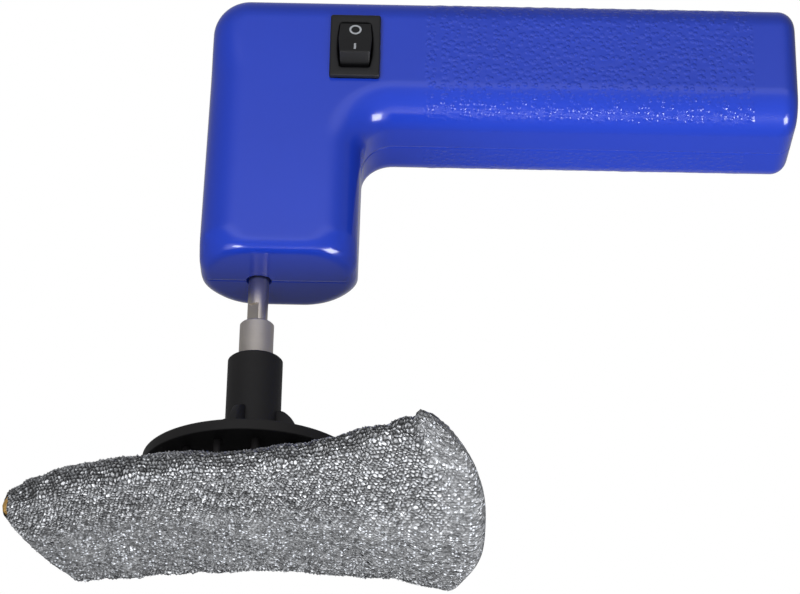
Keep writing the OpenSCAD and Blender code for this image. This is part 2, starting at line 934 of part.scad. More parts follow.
spade_end = switch_depth + spade_out - half_depth;
module lead_switch_motor() {
    color("black")
        lead([[switch_x, spade_end, switch_z - spade_step], [switch_x, spade_end + 4, switch_z - 4],
            [22, 5, switch_z + 2], [15, 3, switch_z + 5],
            [motor_offset + tab_x + tab_t / 2, 0, tab_top + 3],
            [motor_offset + tab_x + tab_t / 2, 0, tab_top]],
            [0, 1, 0], [0, 0, -1], [1, 0.2, 0.1]);
}

module lead_cell_switch() {
    p = cell_step;
    color("red")
        lead([[switch_x, spade_end, switch_z + spade_step], [switch_x, spade_end + 4, switch_z + 4],
            [33, 5, handle_mid + 7], [42, 6, handle_mid + 7], [52, 7, handle_mid + 6],
            [cell_x - strap_t, p[0], handle_mid + p[1]]],
            [0, 1, 0], [1, 0, 0], [0.1, 0.1, 1]);
}

module lead_cell_motor() {
    p = cell_step;
    color("black")
        lead([[cell_x - strap_t, -p[0], handle_mid - p[1]], [52, -6, handle_mid - 5],
            [44, 2, handle_mid - 2], [36, 9, handle_mid], [24, 9, handle_mid + 7],
            [8, 7, handle_mid + 9], [motor_offset - tab_x - tab_t / 2, 2, tab_top + 6],
            [motor_offset - tab_x - tab_t / 2, 0, tab_top]],
            [-1, 0, 0], [0, 0, -1], [0.1, 0.2, 1]);
}

module lead_board() {
    x = board_x + board_size[0] - 5;
    color("red")
        lead([[jack_x, 0, jack_z + 3.4], [jack_x - 3, 0, jack_z + 3], [jack_x - 6, -3, jack_z - 2],
            [x, -5, board_z + 6], [x, -5, board_z + board_size[2]]],
            [-1, 0, 0], [0, 0, -1], [0.1, 1, 0.1]);
}

// Spindle
flat_turn = -120;
shaft_low = hub_top - sleeve_sunk + 2;
shaft_flat_top = casing_z - 8.5;
module shaft_round(gap, low, high) {
    difference() {
        translate([0, 0, low]) cylinder(d = shaft_d + 2 * gap, h = high - low);
        rotate(flat_turn)
            translate([shaft_d / 2 - shaft_flat + gap, -shaft_d, low - shaft_d])
                cube([shaft_d, 2 * shaft_d, shaft_flat_top - low + shaft_d]);
    }
}

module output_shaft() {
    color("silver") shaft_round(0, shaft_low, out_z + out_face);
}

module shaft_sleeve() {
    edge = 0.1 * (sleeve_d - shaft_d);
    low = hub_top - sleeve_sunk;
    color("lightsteelblue")
        difference() {
            union() {
                translate([0, 0, low]) cylinder(d = sleeve_d, h = sleeve_top - edge - low);
                translate([0, 0, sleeve_top - edge])
                    cylinder(d1 = sleeve_d, d2 = sleeve_d - 2 * edge, h = edge);
            }
            shaft_round(press_gap, shaft_low, casing_z);
        }
}

// Hub and disc are one moulding
gusset_count = 4;
gusset_turn = -22;
gusset_t = 2.4;
gusset_out = 7;
gusset_up = 14.3;
peg_r = 1.1;
peg_ring_r = disc_d / 2 - 7;
peg_turn = -84.5;
module hub_disc() {
    edge = 0.5;
    steps = 8;
    bore_r = sleeve_d / 2 + press_gap;
    color("#1e1e20")
        difference() {
            union() {
                translate([0, 0, disc_z]) cylinder(d = disc_d, h = disc_t, $fn = 96);
                translate([0, 0, disc_z]) cylinder(d = hub_d, h = hub_top - edge - disc_z);
                translate([0, 0, hub_top - edge])
                    cylinder(d1 = hub_d, d2 = hub_d - 2 * edge, h = edge);
                for (k = [0:gusset_count - 1])
                    rotate([90, 0, gusset_turn + 360 * k / gusset_count])
                        translate([0, disc_top - 1, -gusset_t / 2])
                            linear_extrude(gusset_t)
                                polygon(concat([[0, 0], [hub_d / 2 + gusset_out, 0]],
                                    [for (i = [0:steps])
                                        [hub_d / 2 + gusset_out * cos(90 * i / steps),
                                            1 + gusset_up * sin(90 * i / steps)]],
                                    [[0, 1 + gusset_up]]));
                for (k = [0:peg_count - 1])
                    rotate(peg_turn + 360 * k / peg_count)
                        translate([peg_ring_r, 0, pad_t])
                            cylinder(r = peg_r, h = peg_len + disc_t / 2);
            }
            translate([0, 0, hub_top - sleeve_sunk]) cylinder(r = bore_r, h = far);
        }
}

// Pad: rings swept from its left end to its right, thin at the sewn ends
near_left = [-pad_left, -pad_near * 0.29];
near_right = [pad_right - 16, -pad_near];
far_left = [20.6 - pad_left, pad_far];
far_right = [pad_right - 10.7, pad_far + 2];
left_bow = 2.9;
right_bow = 11.3;
right_skew = 0.23;
near_bow = 23.8;
far_bow = 14.7;
edge_power = 0.5;
edge_drop = 6.4;
crown = 1.3;
end_rise = 1;
end_full = 0.42;
curl_from = 0.47;
foot_cut = 0.5;
function mix(a, b, t) = a + (b - a) * t;
function near_in(t) = near_bow * sin(180 * t ^ 0.8) * (1 - 0.35 * t);
function far_in(t) = far_bow * sin(180 * t ^ 1.35) * (1 - 0.1 * t);
function end_out(t, s) = (t > 0.5 ? right_bow * (1 - right_skew * s) : -left_bow)
    * abs(2 * t - 1) ^ 5 * (1 - s ^ 2);
function pad_plan(t, s) =
    mix(mix(near_left, near_right, t) - [0, near_in(t)],
        mix(far_left, far_right, t) - [0, far_in(t)], (s + 1) / 2)
    + [end_out(t, s), 0];
function pad_full(t) = mix(end_full, 1, sqrt(1 - (2 * t - 1) ^ 6));
function pad_lift(t, s) =
    pad_curl * max(0, (t - curl_from) / (1 - curl_from)) ^ 1.8 * max(0, -s) ^ 1.2;
function round_to(a, power) = sign(a) * abs(a) ^ power;
function pad_point(t, turn, inset) =
    let (s = round_to(cos(turn), edge_power) * (1 - inset / pad_near),
        up = round_to(sin(turn), edge_power),
        plan = pad_plan(t, s),
        thick = (pad_t + crown - edge_drop * s ^ 2) * pad_full(t) - 2 * inset,
        low = pad_lift(t, s) + inset + end_rise * (1 - pad_full(t)) - foot_cut)
    [plan[0], plan[1], low + thick * (up + 1) / 2];
// Two triangles between the upper and lower edge of an end ring
function pad_end(z, a, b, way = 1) =
    [[z + a, z + a + way, z + b - way], [z + a, z + b - way, z + b]];
module pad_body(inset, count, sides) {
    first = inset / pad_left;
    rings = [for (i = [0:count])
        let (t = first + (1 - 2 * first) * (1 - cos(180 * i / count)) / 2)
        [for (k = [0:sides - 1]) pad_point(t, 360 * (k + 0.5) / sides, inset)]];
    polyhedron([for (ring = rings) each ring], concat(
        [for (i = [0:count - 1], k = [0:sides - 1]) each
            let (a = i * sides + k, b = i * sides + (k + 1) % sides)
            [[a, b + sides, b], [a, a + sides, b + sides]]],
        [for (k = [0:sides / 2 - 2]) each pad_end(0, k, sides - 1 - k)],
        [for (k = [0:sides / 2 - 2]) each pad_end(count * sides, sides - 1 - k, k, -1)]));
}

module pad_cover() {
    color("silver")
        difference() {
            pad_body(0, 34, 24);
            pad_body(cover_t, 18, 14);
            translate([-far / 2, -far / 2, -far]) cube(far);
            translate([0, 0, pad_t]) cylinder(r = peg_ring_r + 3 * peg_r, h = far);
        }
}

module pad_core() {
    color("khaki") pad_body(cover_t + 0.5, 18, 14);
}

front_shell();
rear_shell();
shell_screws();
switch_housing();
rocker_button();
switch_terminals();
gearbox_face_plate();
gearbox_housing();
gearbox_rear_plate();
gearbox_screws();
gear_pins();
output_bush();
motor_can();
motor_screws();
motor_magnets();
motor_bushes();
motor_end_cap();
motor_brushes();
motor_terminals();
rotor_shaft();
armature_core();
armature_windings();
commutator();
motor_pinion();
first_gear();
second_gear();
output_gear();
output_shaft();
cell_1();
cell_2();
cell_straps();
charge_board();
board_chips();
charge_jack();
jack_pin();
lead_switch_motor();
lead_cell_switch();
lead_cell_motor();
lead_board();
shaft_sleeve();
hub_disc();
pad_cover();
pad_core();
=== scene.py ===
# %% [markdown]
# A hand-held cordless scrubber. The CAD model gives every piece its place, and this
# lesson builds the looks around it: a glossy blue casing with a pebbled grip, a small
# rocker switch, a steel spindle, a black pegged disc and a pad of metallic knit.
# Shapes are written in millimetres, as on a drawing, and turned into metres once.

# %% Load the frame
import math

import bpy
import numpy as np
from mathutils import Matrix, Vector


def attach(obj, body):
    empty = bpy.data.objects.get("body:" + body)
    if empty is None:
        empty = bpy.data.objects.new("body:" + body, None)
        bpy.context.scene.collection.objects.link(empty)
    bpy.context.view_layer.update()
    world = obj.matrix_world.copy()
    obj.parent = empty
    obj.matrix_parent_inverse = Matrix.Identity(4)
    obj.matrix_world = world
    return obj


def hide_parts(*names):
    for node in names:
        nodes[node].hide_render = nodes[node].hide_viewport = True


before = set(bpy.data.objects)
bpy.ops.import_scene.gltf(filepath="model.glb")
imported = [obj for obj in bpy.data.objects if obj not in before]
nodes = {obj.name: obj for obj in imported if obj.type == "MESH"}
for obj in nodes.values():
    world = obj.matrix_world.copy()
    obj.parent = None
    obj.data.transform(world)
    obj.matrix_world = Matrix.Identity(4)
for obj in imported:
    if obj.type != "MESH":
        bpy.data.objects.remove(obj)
scene = bpy.context.scene
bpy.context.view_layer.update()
MM = 0.001


# %% [markdown]
# The camera comes first, because every later choice is judged through it. The
# photograph looks up at the tool from 26 degrees below level, square to its front,
# through a long lens, and is turned by about one degree.

# %% Camera
CAMERA_AT, CAMERA_PITCH, CAMERA_ROLL, LENS = (0.04158, -0.73889, -0.28374), 26, 1.1, 126
camera = bpy.data.objects.new("camera", bpy.data.cameras.new("camera"))
camera.data.lens = LENS
scene.collection.objects.link(camera)
pitched = Matrix.Rotation(math.radians(90 + CAMERA_PITCH), 4, "X")
rolled = Matrix.Rotation(math.radians(CAMERA_ROLL), 4, "Z")
camera.matrix_world = Matrix.Translation(CAMERA_AT) @ pitched @ rolled
scene.camera = camera
scene.view_settings.view_transform = "Standard"
print("camera lens:", camera.data.lens)


# %% [markdown]
# Node trees are easier to read when each node takes one line. The first helper makes a
# node, sets its values, links its inputs and gives back its outputs. The others name the
# nodes that return, and sums go by their signs.

# %% Node helpers
SIGNS = {"+": "ADD", "-": "SUBTRACT", "*": "MULTIPLY", "/": "DIVIDE", "*+": "MULTIPLY_ADD"}


def add_node(tree, kind, settings=None, **inputs):
    node = tree.nodes.new("ShaderNode" + kind)
    for name, value in (settings or {}).items():
        setattr(node, name, value)
    for name, value in inputs.items():
        key = int(name[1:]) if name[0] == "_" else name.replace("_", " ")
        if isinstance(value, bpy.types.NodeSocket):
            tree.links.new(value, node.inputs[key])
        else:
            node.inputs[key].default_value = value
    return node.outputs


def link(tree, inputs, **values):
    for name, value in values.items():
        tree.links.new(value, inputs[name.replace("_", " ")])


def calc(tree, operation, a, b=0.0, c=0.0):
    operation = SIGNS.get(operation, operation)
    return add_node(tree, "Math", {"operation": operation}, _0=a, _1=b, _2=c)[0]


def vectors(tree, operation, *values):
    inputs = {f"_{k}": value for k, value in enumerate(values)}
    return add_node(tree, "VectorMath", {"operation": operation}, **inputs)


def split(tree, vector):
    return add_node(tree, "SeparateXYZ", Vector=vector)


def blend(tree, factor, first, second):
    return add_node(tree, "Mix", {"data_type": "RGBA"}, _0=factor, _6=first, _7=second)[2]


def map_range(tree, value, low, high, first=0.0, last=1.0, kind="SMOOTHSTEP"):
    return add_node(tree, "MapRange", {"interpolation_type": kind}, Value=value,
                    From_Min=low, From_Max=high, To_Min=first, To_Max=last)[0]


def grey(level):
    return (level, level, level, 1)


def new_material(name):
    material = bpy.data.materials.new(name)
    material.use_nodes = True
    return material, material.node_tree, material.node_tree.nodes["Principled BSDF"]


print("node helpers ready")


# %% [markdown]
# The background is plain white for the camera, and through clear things. For light the
# world is a mid grey, so colours render about as they are written. Gloss mirrors a room:
# a white band in front, a pale table below, and dimmer walls that keep the edges of the
# casing blue. It is read off a ramp by the angle of the ray, from behind, down, ahead
# and up. A soft glow round each small lamp takes the hard edge off its highlight.

# %% World
WORLD_LEVEL, ROOM_PEAK, ROOM_SIDE, SIDE_FROM, SIDE_TO = 0.22, 1.5, 0.3, 0.35, 0.85
GLOW, GLOW_EDGE, GLOW_AT = 2.5, 0.92, [(0.55, -0.13, -0.82), (-0.50, -0.35, -0.79)]
ROOM = [(-180, 0.40), (-146, 0.21), (-117, 0.22), (-93, 0.47), (-73, 0.90), (-53, 0.58), (-34, 0.44),
        (-8, 0.48), (4, 0.75), (11, 1.40), (25, 1.40), (31, 0.66), (45, 0.46), (70, 0.32), (180, 0.40)]


def room_light(tree, ray):
    way = split(tree, ray)
    turn = calc(tree, "ARCTAN2", way["Z"], calc(tree, "*", way["Y"], -1.0))
    ramp = add_node(tree, "ValToRGB", Fac=calc(tree, "*+", turn, 0.5 / math.pi, 0.5))
    stops = ramp["Color"].node.color_ramp.elements
    for angle, shade in ROOM[1:-1]:
        stops.new((angle + 180) / 360)
    for stop, (angle, shade) in zip(stops, ROOM):
        stop.color = grey(shade / ROOM_PEAK)
    side = map_range(tree, calc(tree, "ABSOLUTE", way["X"]), SIDE_FROM, SIDE_TO)
    ahead = calc(tree, "*", ramp["Color"], ROOM_PEAK)
    room = blend(tree, side, ahead, grey(ROOM_SIDE))
    for lamp_at in GLOW_AT:
        near = vectors(tree, "DOT_PRODUCT", ray, lamp_at)["Value"]
        room = calc(tree, "+", room, map_range(tree, near, GLOW_EDGE, 1.0, 0.0, GLOW))
    return room


world = bpy.data.worlds.new("plain_world")
scene.world = world
world.use_nodes = True
tree = world.node_tree
tree.nodes.clear()
path = add_node(tree, "LightPath")
seen = calc(tree, "MAXIMUM", path["Is Camera Ray"], path["Is Transmission Ray"])
ray = add_node(tree, "TexCoord")["Generated"]
gloss = blend(tree, path["Is Glossy Ray"], grey(WORLD_LEVEL), room_light(tree, ray))
colour = blend(tree, seen, gloss, grey(1))
sky = add_node(tree, "Background", Color=colour)
add_node(tree, "OutputWorld", Surface=sky[0])
print("world ready, stops of the room:", len(ROOM))


# %% [markdown]
# The floor is a pale plane just under the pad. It shows from above and catches the
# shadow. Further out it fades into the white, and from below it vanishes, because the
# photograph looks up through it.

# %% Floor
FLOOR_SIZE, FLOOR_AT, FLOOR_SHADE, FADE_FROM, FADE_TO = 4, (0.05, 0, -0.0006), 0.9, 0.15, 0.6
bpy.ops.mesh.primitive_plane_add(size=FLOOR_SIZE, location=FLOOR_AT)
floor = bpy.context.object
floor.name = "floor"
floor.visible_shadow = floor.visible_diffuse = floor.visible_glossy = False
material, tree, _ = new_material("floor_paint")
tree.nodes.clear()
side = add_node(tree, "NewGeometry")["Backfacing"]
spot = add_node(tree, "TexCoord")["Object"]
fade = map_range(tree, vectors(tree, "LENGTH", spot)["Value"], FADE_FROM, FADE_TO)
unseen = calc(tree, "MAXIMUM", side, fade)
paint = add_node(tree, "BsdfDiffuse", Color=grey(FLOOR_SHADE))[0]
clear = add_node(tree, "BsdfTransparent")[0]
both = add_node(tree, "MixShader", _0=unseen, _1=paint, _2=clear)
add_node(tree, "OutputMaterial", Surface=both[0])
floor.data.materials.append(material)
print("floor ready, fading out at", FADE_TO, "m")


# %% [markdown]
# Two small lamps below, left and right, show only in gloss: the square highlight in the
# inner bend, short ones along the bottom edge, glints on the grip and sparkle on the
# pad. The soft boxes only light the colours. All face the middle of the tool.

# %% Lamps
LAMP_AIM = Vector((0.04, 0, 0.1))
LAMPS = {"right_lamp": ((0.416, -0.10, -0.36), 0.22, 2.4, True),
         "left_lamp": ((-0.25, -0.25, -0.36), 0.12, 0.8, True),
         "key_box": ((0.075, -0.17, -0.35), 0.25, 3.1, False),
         "front_box": ((-0.25, -0.75, 0.1), 0.5, 3.9, False),
         "top_box": ((0.1, 0.6, 0.9), 0.7, 10, False),
         "back_box": ((0.3, 0.9, 0.4), 0.6, 6, False)}


def square_lamp(name, place, size, power, mirrored):
    data = bpy.data.lights.new(name, "AREA")
    data.size, data.energy = size, power
    lamp = bpy.data.objects.new(name, data)
    scene.collection.objects.link(lamp)
    lamp.location = place
    lamp.visible_glossy, lamp.visible_diffuse = mirrored, not mirrored
    lamp.rotation_euler = (LAMP_AIM - Vector(place)).to_track_quat("-Z", "Y").to_euler()
    return lamp


lamps = {name: square_lamp(name, *values) for name, values in LAMPS.items()}
print("lamps:", list(lamps))


# %% [markdown]
# Two effects return in many finishes, so each is a node group made once. Fine grain
# is the faint unevenness of moulded and painted surfaces. Tool marks are the thin
# rings that a lathe leaves round the spindle axis.

# %% Shared node groups
BROAD_SCALE, STAIN_SCALE, MARK_LENGTH = 35.0, 160.0, 40.0


def noise(tree, vector, scale, detail=2.0):
    return add_node(tree, "TexNoise", Vector=vector, Scale=scale, Detail=detail)[0]


def grain(tree, at, given):
    fine, broad = noise(tree, at, given["Scale"]), noise(tree, at, BROAD_SCALE, 3.0)
    swing = calc(tree, "*+", broad, 0.7, calc(tree, "*", fine, 0.3))
    return swing, fine, broad


def marks(tree, at, given):
    scale = add_node(tree, "CombineXYZ", X=MARK_LENGTH, Y=MARK_LENGTH, Z=given["Lines"])[0]
    rings = noise(tree, vectors(tree, "MULTIPLY", at, scale)[0], 1.0, 3.0)
    return rings, rings, noise(tree, at, STAIN_SCALE, 4.0)


def new_group(name, pattern, **inputs):
    tree = bpy.data.node_groups.new(name, "ShaderNodeTree")
    for label, value in inputs.items():
        socket = tree.interface.new_socket(label, in_out="INPUT", socket_type="NodeSocketFloat")
        socket.default_value = value
    for label in ("Roughness", "Height", "Shade"):
        tree.interface.new_socket(label, in_out="OUTPUT", socket_type="NodeSocketFloat")
    given, made = tree.nodes.new("NodeGroupInput").outputs, tree.nodes.new("NodeGroupOutput").inputs
    swing, height, shade = pattern(tree, add_node(tree, "TexCoord")["Object"], given)
    swing = calc(tree, "-", swing, 0.5)
    rough = calc(tree, "*+", swing, given["Spread"], given["Rough"])
    link(tree, made, Roughness=rough, Height=height, Shade=shade)
    return tree


GROUPS = {"fine_grain": new_group("fine_grain", grain, Scale=900.0, Rough=0.4, Spread=0.1),
          "tool_marks": new_group("tool_marks", marks, Lines=6000.0, Rough=0.35, Spread=0.2)}
print("node groups:", list(GROUPS))


# %% [markdown]
# Most finishes are one Principled shader with a shared effect: two close colours,
# mixed by the group's shade, a roughness that varies a little, and a shallow bump.
# A finish with a number of lines gets tool marks, and any other gets fine grain.

# %% Finish maker
def finish(name, low, high, rough, spread=0.15, scale=1500.0, lines=0.0, bump=0.15, depth=0.00005,
           metallic=0.0, **extra):
    material, tree, shader = new_material(name)
    group, values = ("tool_marks", {"Lines": lines}) if lines else ("fine_grain", {"Scale": scale})
    made = add_node(tree, "Group", {"node_tree": GROUPS[group]}, Rough=rough, Spread=spread, **values)
    colour = blend(tree, made["Shade"], low + (1,), high + (1,))
    raised = add_node(tree, "Bump", Strength=bump, Distance=depth, Height=made["Height"])
    link(tree, shader.inputs, Base_Color=colour, Roughness=made["Roughness"], Normal=raised[0])
    for label, value in {"Metallic": metallic, **extra}.items():
        shader.inputs[label.replace("_", " ")].default_value = value
    return material


print("finish maker ready")


# %% [markdown]
# Two helpers shorten sums with points. A mesh helper turns points in millimetres and
# faces into an object, and the last one hangs the piece on the body that it moves with
# and hides the CAD pieces that it stands for.

# %% Piece helpers
norm = np.linalg.norm


def columns(*parts):
    return np.stack(parts, axis=-1)


def unit(v):
    return v / np.maximum(norm(v, axis=-1, keepdims=True), 1e-9)


def new_piece(name, points, faces, material, smooth=True):
    mesh = bpy.data.meshes.new(name)
    mesh.from_pydata((np.asarray(points, float) * MM).tolist(), [], [list(map(int, f)) for f in faces])
    mesh.polygons.foreach_set("use_smooth", [smooth] * len(mesh.polygons))
    mesh.materials.append(material)
    mesh.update()
    piece = bpy.data.objects.new(name, mesh)
    scene.collection.objects.link(piece)
    return piece


def stand_for(piece, body, slot, *replaced):
    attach(piece, body)
    if replaced:
        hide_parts(*replaced)
    print(piece.name, "has", len(piece.data.polygons), "faces")


print("piece helpers ready")


# %% [markdown]
# The casing is an L with generous roundings, and gloss shows every facet. So its shape
# is a formula for distance: zero on the skin, negative inside and positive outside. One
# rounding blends outer edges and another inner corners. The upright edges grow rounder
# near the bottom face and a little tighter near the top.

# %% Casing as a distance
HEAD_LEFT, HEAD_RIGHT, HALF_DEPTH = -16.9, 29.0, 21.0
CASING_Z, CASING_TOP, HANDLE_Z, HANDLE_END = 81.0, 168.0, 127.0, 159.0
LONG_ROUND, TOP_ROUND, END_ROUND, ELBOW_ROUND = 11.0, 8.9, 5.0, 9.5
FRONT_ROUND, REAR_ROUND, LOW_ROUND, LOW_REACH = 3.5, 7.0, 16.5, 8.0
LEFT_DRAFT, RIGHT_DRAFT, LEFT_LEVEL, RIGHT_LEVEL = 1.34, 0.47, 0.325, 0.33
TIGHT_FROM, TIGHT_TO, REAR_BY = 140, 156, 14


def round_edge(a, b, r):
    return np.minimum(-r, np.maximum(a, b)) + np.hypot(np.maximum(r + a, 0), np.maximum(r + b, 0))


def round_corner(a, b, r):
    return np.maximum(r, np.minimum(a, b)) - np.hypot(np.maximum(r - a, 0), np.maximum(r - b, 0))


def ease(low, high, value):
    t = np.clip((value - low) / (high - low), 0, 1)
    return t * t * (3 - 2 * t)


def mix(a, b, t):
    return a + (b - a) * t


def casing_distance(p):
    x, y, z = p.T
    left = HEAD_LEFT + LEFT_DRAFT * ((z - CASING_Z) / (CASING_TOP - CASING_Z) - LEFT_LEVEL)
    right = HEAD_RIGHT + RIGHT_DRAFT * ((z - CASING_Z) / (HANDLE_Z - CASING_Z) - RIGHT_LEVEL)
    outside = round_edge(left - x, z - CASING_TOP, LONG_ROUND)
    inside = round_corner(x - right, HANDLE_Z - z, ELBOW_ROUND)
    corner = mix(LONG_ROUND, LOW_ROUND, 1 - ease(CASING_Z, CASING_Z + LOW_REACH, z))
    corner = corner + (TOP_ROUND - LONG_ROUND) * ease(TIGHT_FROM, TIGHT_TO, z)
    body = round_edge(np.maximum(outside, inside), np.abs(y) - HALF_DEPTH, corner)
    bottom = mix(FRONT_ROUND, REAR_ROUND, ease(0, REAR_BY, y))
    body = round_edge(body, CASING_Z - z, bottom)
    return round_edge(body, x - HANDLE_END, END_ROUND)


def slope(p, step=0.02):
    return unit(columns(*[casing_distance(p + m) - casing_distance(p - m) for m in np.eye(3) * step]))


print("distance at the spindle hole:", casing_distance(np.array([[0.0, 0.0, CASING_Z]])))


# %% [markdown]
# The skin starts as the outside of a block model made of small cells, finest where
# the grip is pebbled. Each point is then walked down the distance until it lies on
# the skin, which gives even quads that follow the roundings.

# %% Casing skin
SQUARE = ((0, 0), (1, 0), (1, 1), (0, 1))
GRIP, SETTLING = (48.0, 145.4), 6


def spaced(*stops):
    marks = [stops[0]]
    for start, step, end in zip(stops[0::2], stops[1::2], stops[2::2]):
        marks += list(np.linspace(start, end, max(2, round((end - start) / step) + 1))[1:])
    return np.array(marks)


def block_skin(xs, ys, zs, solid):
    filled = np.pad(solid, 1)
    quads = []
    for axis in range(3):
        lower = np.moveaxis(filled, axis, 0)[:-1]
        upper = np.moveaxis(filled, axis, 0)[1:]
        for full, turned in ((lower & ~upper, False), (upper & ~lower, True)):
            plane, a, b = np.nonzero(full)
            corner = [np.stack([plane, a - 1 + da, b - 1 + db]) for da, db in SQUARE]
            cells = np.stack(corner[::-1] if turned != (axis == 1) else corner, axis=1)
            quads.append(np.insert(cells[1:], axis, cells[0], axis=0))
    quads = np.concatenate(quads, axis=2)
    keys = (quads[0] * 100000 + quads[1]) * 100000 + quads[2]
    unique, where = np.unique(keys, return_inverse=True)
    index = columns(unique // 10**10, unique // 10**5 % 10**5, unique % 10**5)
    points = columns(xs[index[:, 0]], ys[index[:, 1]], zs[index[:, 2]])
    return points, where.reshape(keys.shape).T


half_steps = spaced(0, 0.25, 0.25, 0.5, HALF_DEPTH)
xs = spaced(HEAD_LEFT, 1, HEAD_RIGHT, 1, GRIP[0] - 1, 0.5, GRIP[1] + 1, 0.8, HANDLE_END)
ys = np.concatenate([-half_steps[:0:-1], half_steps])
zs = spaced(CASING_Z, 1, HANDLE_Z, 0.5, CASING_TOP)
middle = lambda v: (v[1:] + v[:-1]) / 2
solid = (middle(xs)[:, None, None] < HEAD_RIGHT) | (middle(zs)[None, None, :] > HANDLE_Z)
solid = np.broadcast_to(solid, (len(xs) - 1, len(ys) - 1, len(zs) - 1))
skin, quads = block_skin(xs, ys, zs, solid)
for _ in range(SETTLING):
    skin = skin - casing_distance(skin)[:, None] * slope(skin)
print("casing skin:", len(skin), "points,", len(quads), "quads")


# %% [markdown]
# The grip looks like small drops of water: domes of many sizes, packed close. The mesh
# carries low ones, which make the outline bumpy, and the finish adds crisp ones later. A
# drop is a ball with its centre near the skin, so balls scattered in space give domes of
# all sizes. The front half stays smooth along its underside.

# %% Pebbled grip
DROP_PITCH, DROP_SEED, DROP_HEIGHT, DROP_FLAT = np.array([2.5, 2.0, 2.0]), 7, 0.16, 0.04
GRIP_EDGE, SEAM_EDGE, UNDER_EDGE, TALL_EDGE, REAR_UNDER = 0.4, (0.3, 1.2), (-0.96, -0.8), (0.3, 0.7), 0.5


def drops(p):
    chance = np.random.default_rng(DROP_SEED)
    cell = np.floor(p / DROP_PITCH).astype(int)
    low = cell.min(0) - 1
    span = tuple(cell.max(0) - low + 2)
    shift = chance.uniform(0.1, 0.9, span + (3,))
    size = chance.uniform(0.5, 1.0, span)
    height = np.zeros(len(p))
    for step in np.ndindex(3, 3, 3):
        at = tuple((cell - low + np.array(step) - 1).T)
        centre = (columns(*at) + low + shift[at]) * DROP_PITCH
        far = norm((p - centre) / DROP_PITCH, axis=1) / size[at]
        height = np.maximum(height, np.maximum(1 - far**2, 0) ** 2 * size[at])
    return height


outward = slope(skin)
begun, ended = (ease(x - GRIP_EDGE, x + GRIP_EDGE, skin[:, 0]) for x in GRIP)
gripped = begun * (1 - ended) * ease(*SEAM_EDGE, np.abs(skin[:, 1]))
beside = ease(*UNDER_EDGE, outward[:, 2])
gripped *= np.where(skin[:, 1] < 0, beside, mix(REAR_UNDER, 1, beside))
on_seam = np.abs(skin[:, 1]) < 1e-6
height = mix(DROP_FLAT, DROP_HEIGHT, ease(*TALL_EDGE, np.abs(outward[:, 2])))
skin = skin + outward * (height * drops(skin) * gripped)[:, None]
print("gripped points:", int((gripped > 0.5).sum()))


# %% [markdown]
# Holes are punched by leaving out the quads inside a circle, moving the loose rim onto
# the circle, and hanging a wall from it: one hole for the spindle, one for the charging
# socket, and six deep ones for screws in the rear half. The square opening for the
# switch needs no wall.

# %% Holes in the casing
WALL, SCREW_SEAT, SCREW_HOLE, SOCKET_HOLE, SPINDLE_HOLE = 2.2, 11.5, 2.55, 4.25, 3.8
SCREWS = [(-11.3, 86.2), (23.4, 86.2), (-9.9, 160.5), (46.0, 133.0), (46.0, 162.0), (137.0, 162.0)]
MIDDLE_Z, SWITCH_X, SWITCH_Z, BODY = (HANDLE_Z + CASING_TOP) / 2, 26.8, 148.7, (13.0, 19.0)
PUNCH_REACH, PUNCH_RIM, LEAST_LEAN = 7, 3, 0.3


def punch(points, quads, centre, axis, radius, depth):
    centre, axis = np.array(centre, float), np.array(axis, float)
    away = points - centre
    along = away @ axis
    across = away - along[:, None] * axis
    far = norm(across, axis=1)
    near = (np.abs(along) < PUNCH_REACH) & (far < radius + PUNCH_RIM)
    gone = near[quads].all(1) & (norm(across[quads].mean(1), axis=1) < radius)
    edges = columns(quads[gone], np.roll(quads[gone], -1, axis=1)).reshape(-1, 2)
    inner = {(b, a) for a, b in edges.tolist()}
    rim = np.array([e for e in edges.tolist() if tuple(e) not in inner])
    ring = np.unique(rim)
    points = points.copy()
    points[ring] += across[ring] / far[ring][:, None] * (radius - far[ring])[:, None]
    for _ in range(4):
        lean = np.maximum(slope(points[ring]) @ axis, LEAST_LEAN)
        points[ring] -= (casing_distance(points[ring]) / lean)[:, None] * axis
    a, b = np.searchsorted(ring, rim).T + len(points)
    wall = columns(a, b, b + len(ring), a + len(ring))
    points = np.concatenate([points, points[ring], points[ring] - axis * depth])
    return points, np.concatenate([quads[~gone], wall])


skin, quads = punch(skin, quads, (0, 0, CASING_Z), (0, 0, -1), SPINDLE_HOLE, WALL)
skin, quads = punch(skin, quads, (HANDLE_END, 0, MIDDLE_Z), (1, 0, 0), SOCKET_HOLE, WALL)
for x, z in SCREWS:
    skin, quads = punch(skin, quads, (x, HALF_DEPTH, z), (0, 1, 0), SCREW_HOLE, HALF_DEPTH - SCREW_SEAT)
off = np.abs(skin - (SWITCH_X, -HALF_DEPTH, SWITCH_Z)) < (BODY[0] / 2, 2, BODY[1] / 2)
quads = quads[~off.all(1)[quads].all(1)]
added = (0, len(skin) - len(gripped))
gripped, on_seam, inward = np.pad(gripped, added), np.pad(on_seam, added), np.pad(-outward, (added, (0, 0)))
print("casing with holes:", len(quads), "quads")


# %% [markdown]
# The crisp drops are part of the blue finish. Points are scattered over a flat map, with
# the length along the handle and the length round it, and each gets a flat-topped drop
# of its own width and height. A pattern in space would cut the drops at a slant on the
# roundings. The mask named grip keeps them in the grip.

# %% Blue plastic with drops
SPOT_PITCH, SPOT_HEIGHT, SPOT_FLAT = 0.0019, 0.00010, 0.4
SPOT_WIDTH, SPOT_WIDER, SPOT_RISE, SPOT_HIGHER = 0.32, 0.2, 0.6, 0.8
casing_blue = finish("casing_blue", (0.010, 0.038, 0.42), (0.013, 0.046, 0.48), 0.14, 0.08, 700.0,
                     bump=0.06, depth=0.00003, IOR=1.48)


def attribute(tree, name, output="Fac"):
    return add_node(tree, "Attribute", {"attribute_name": name})[output]


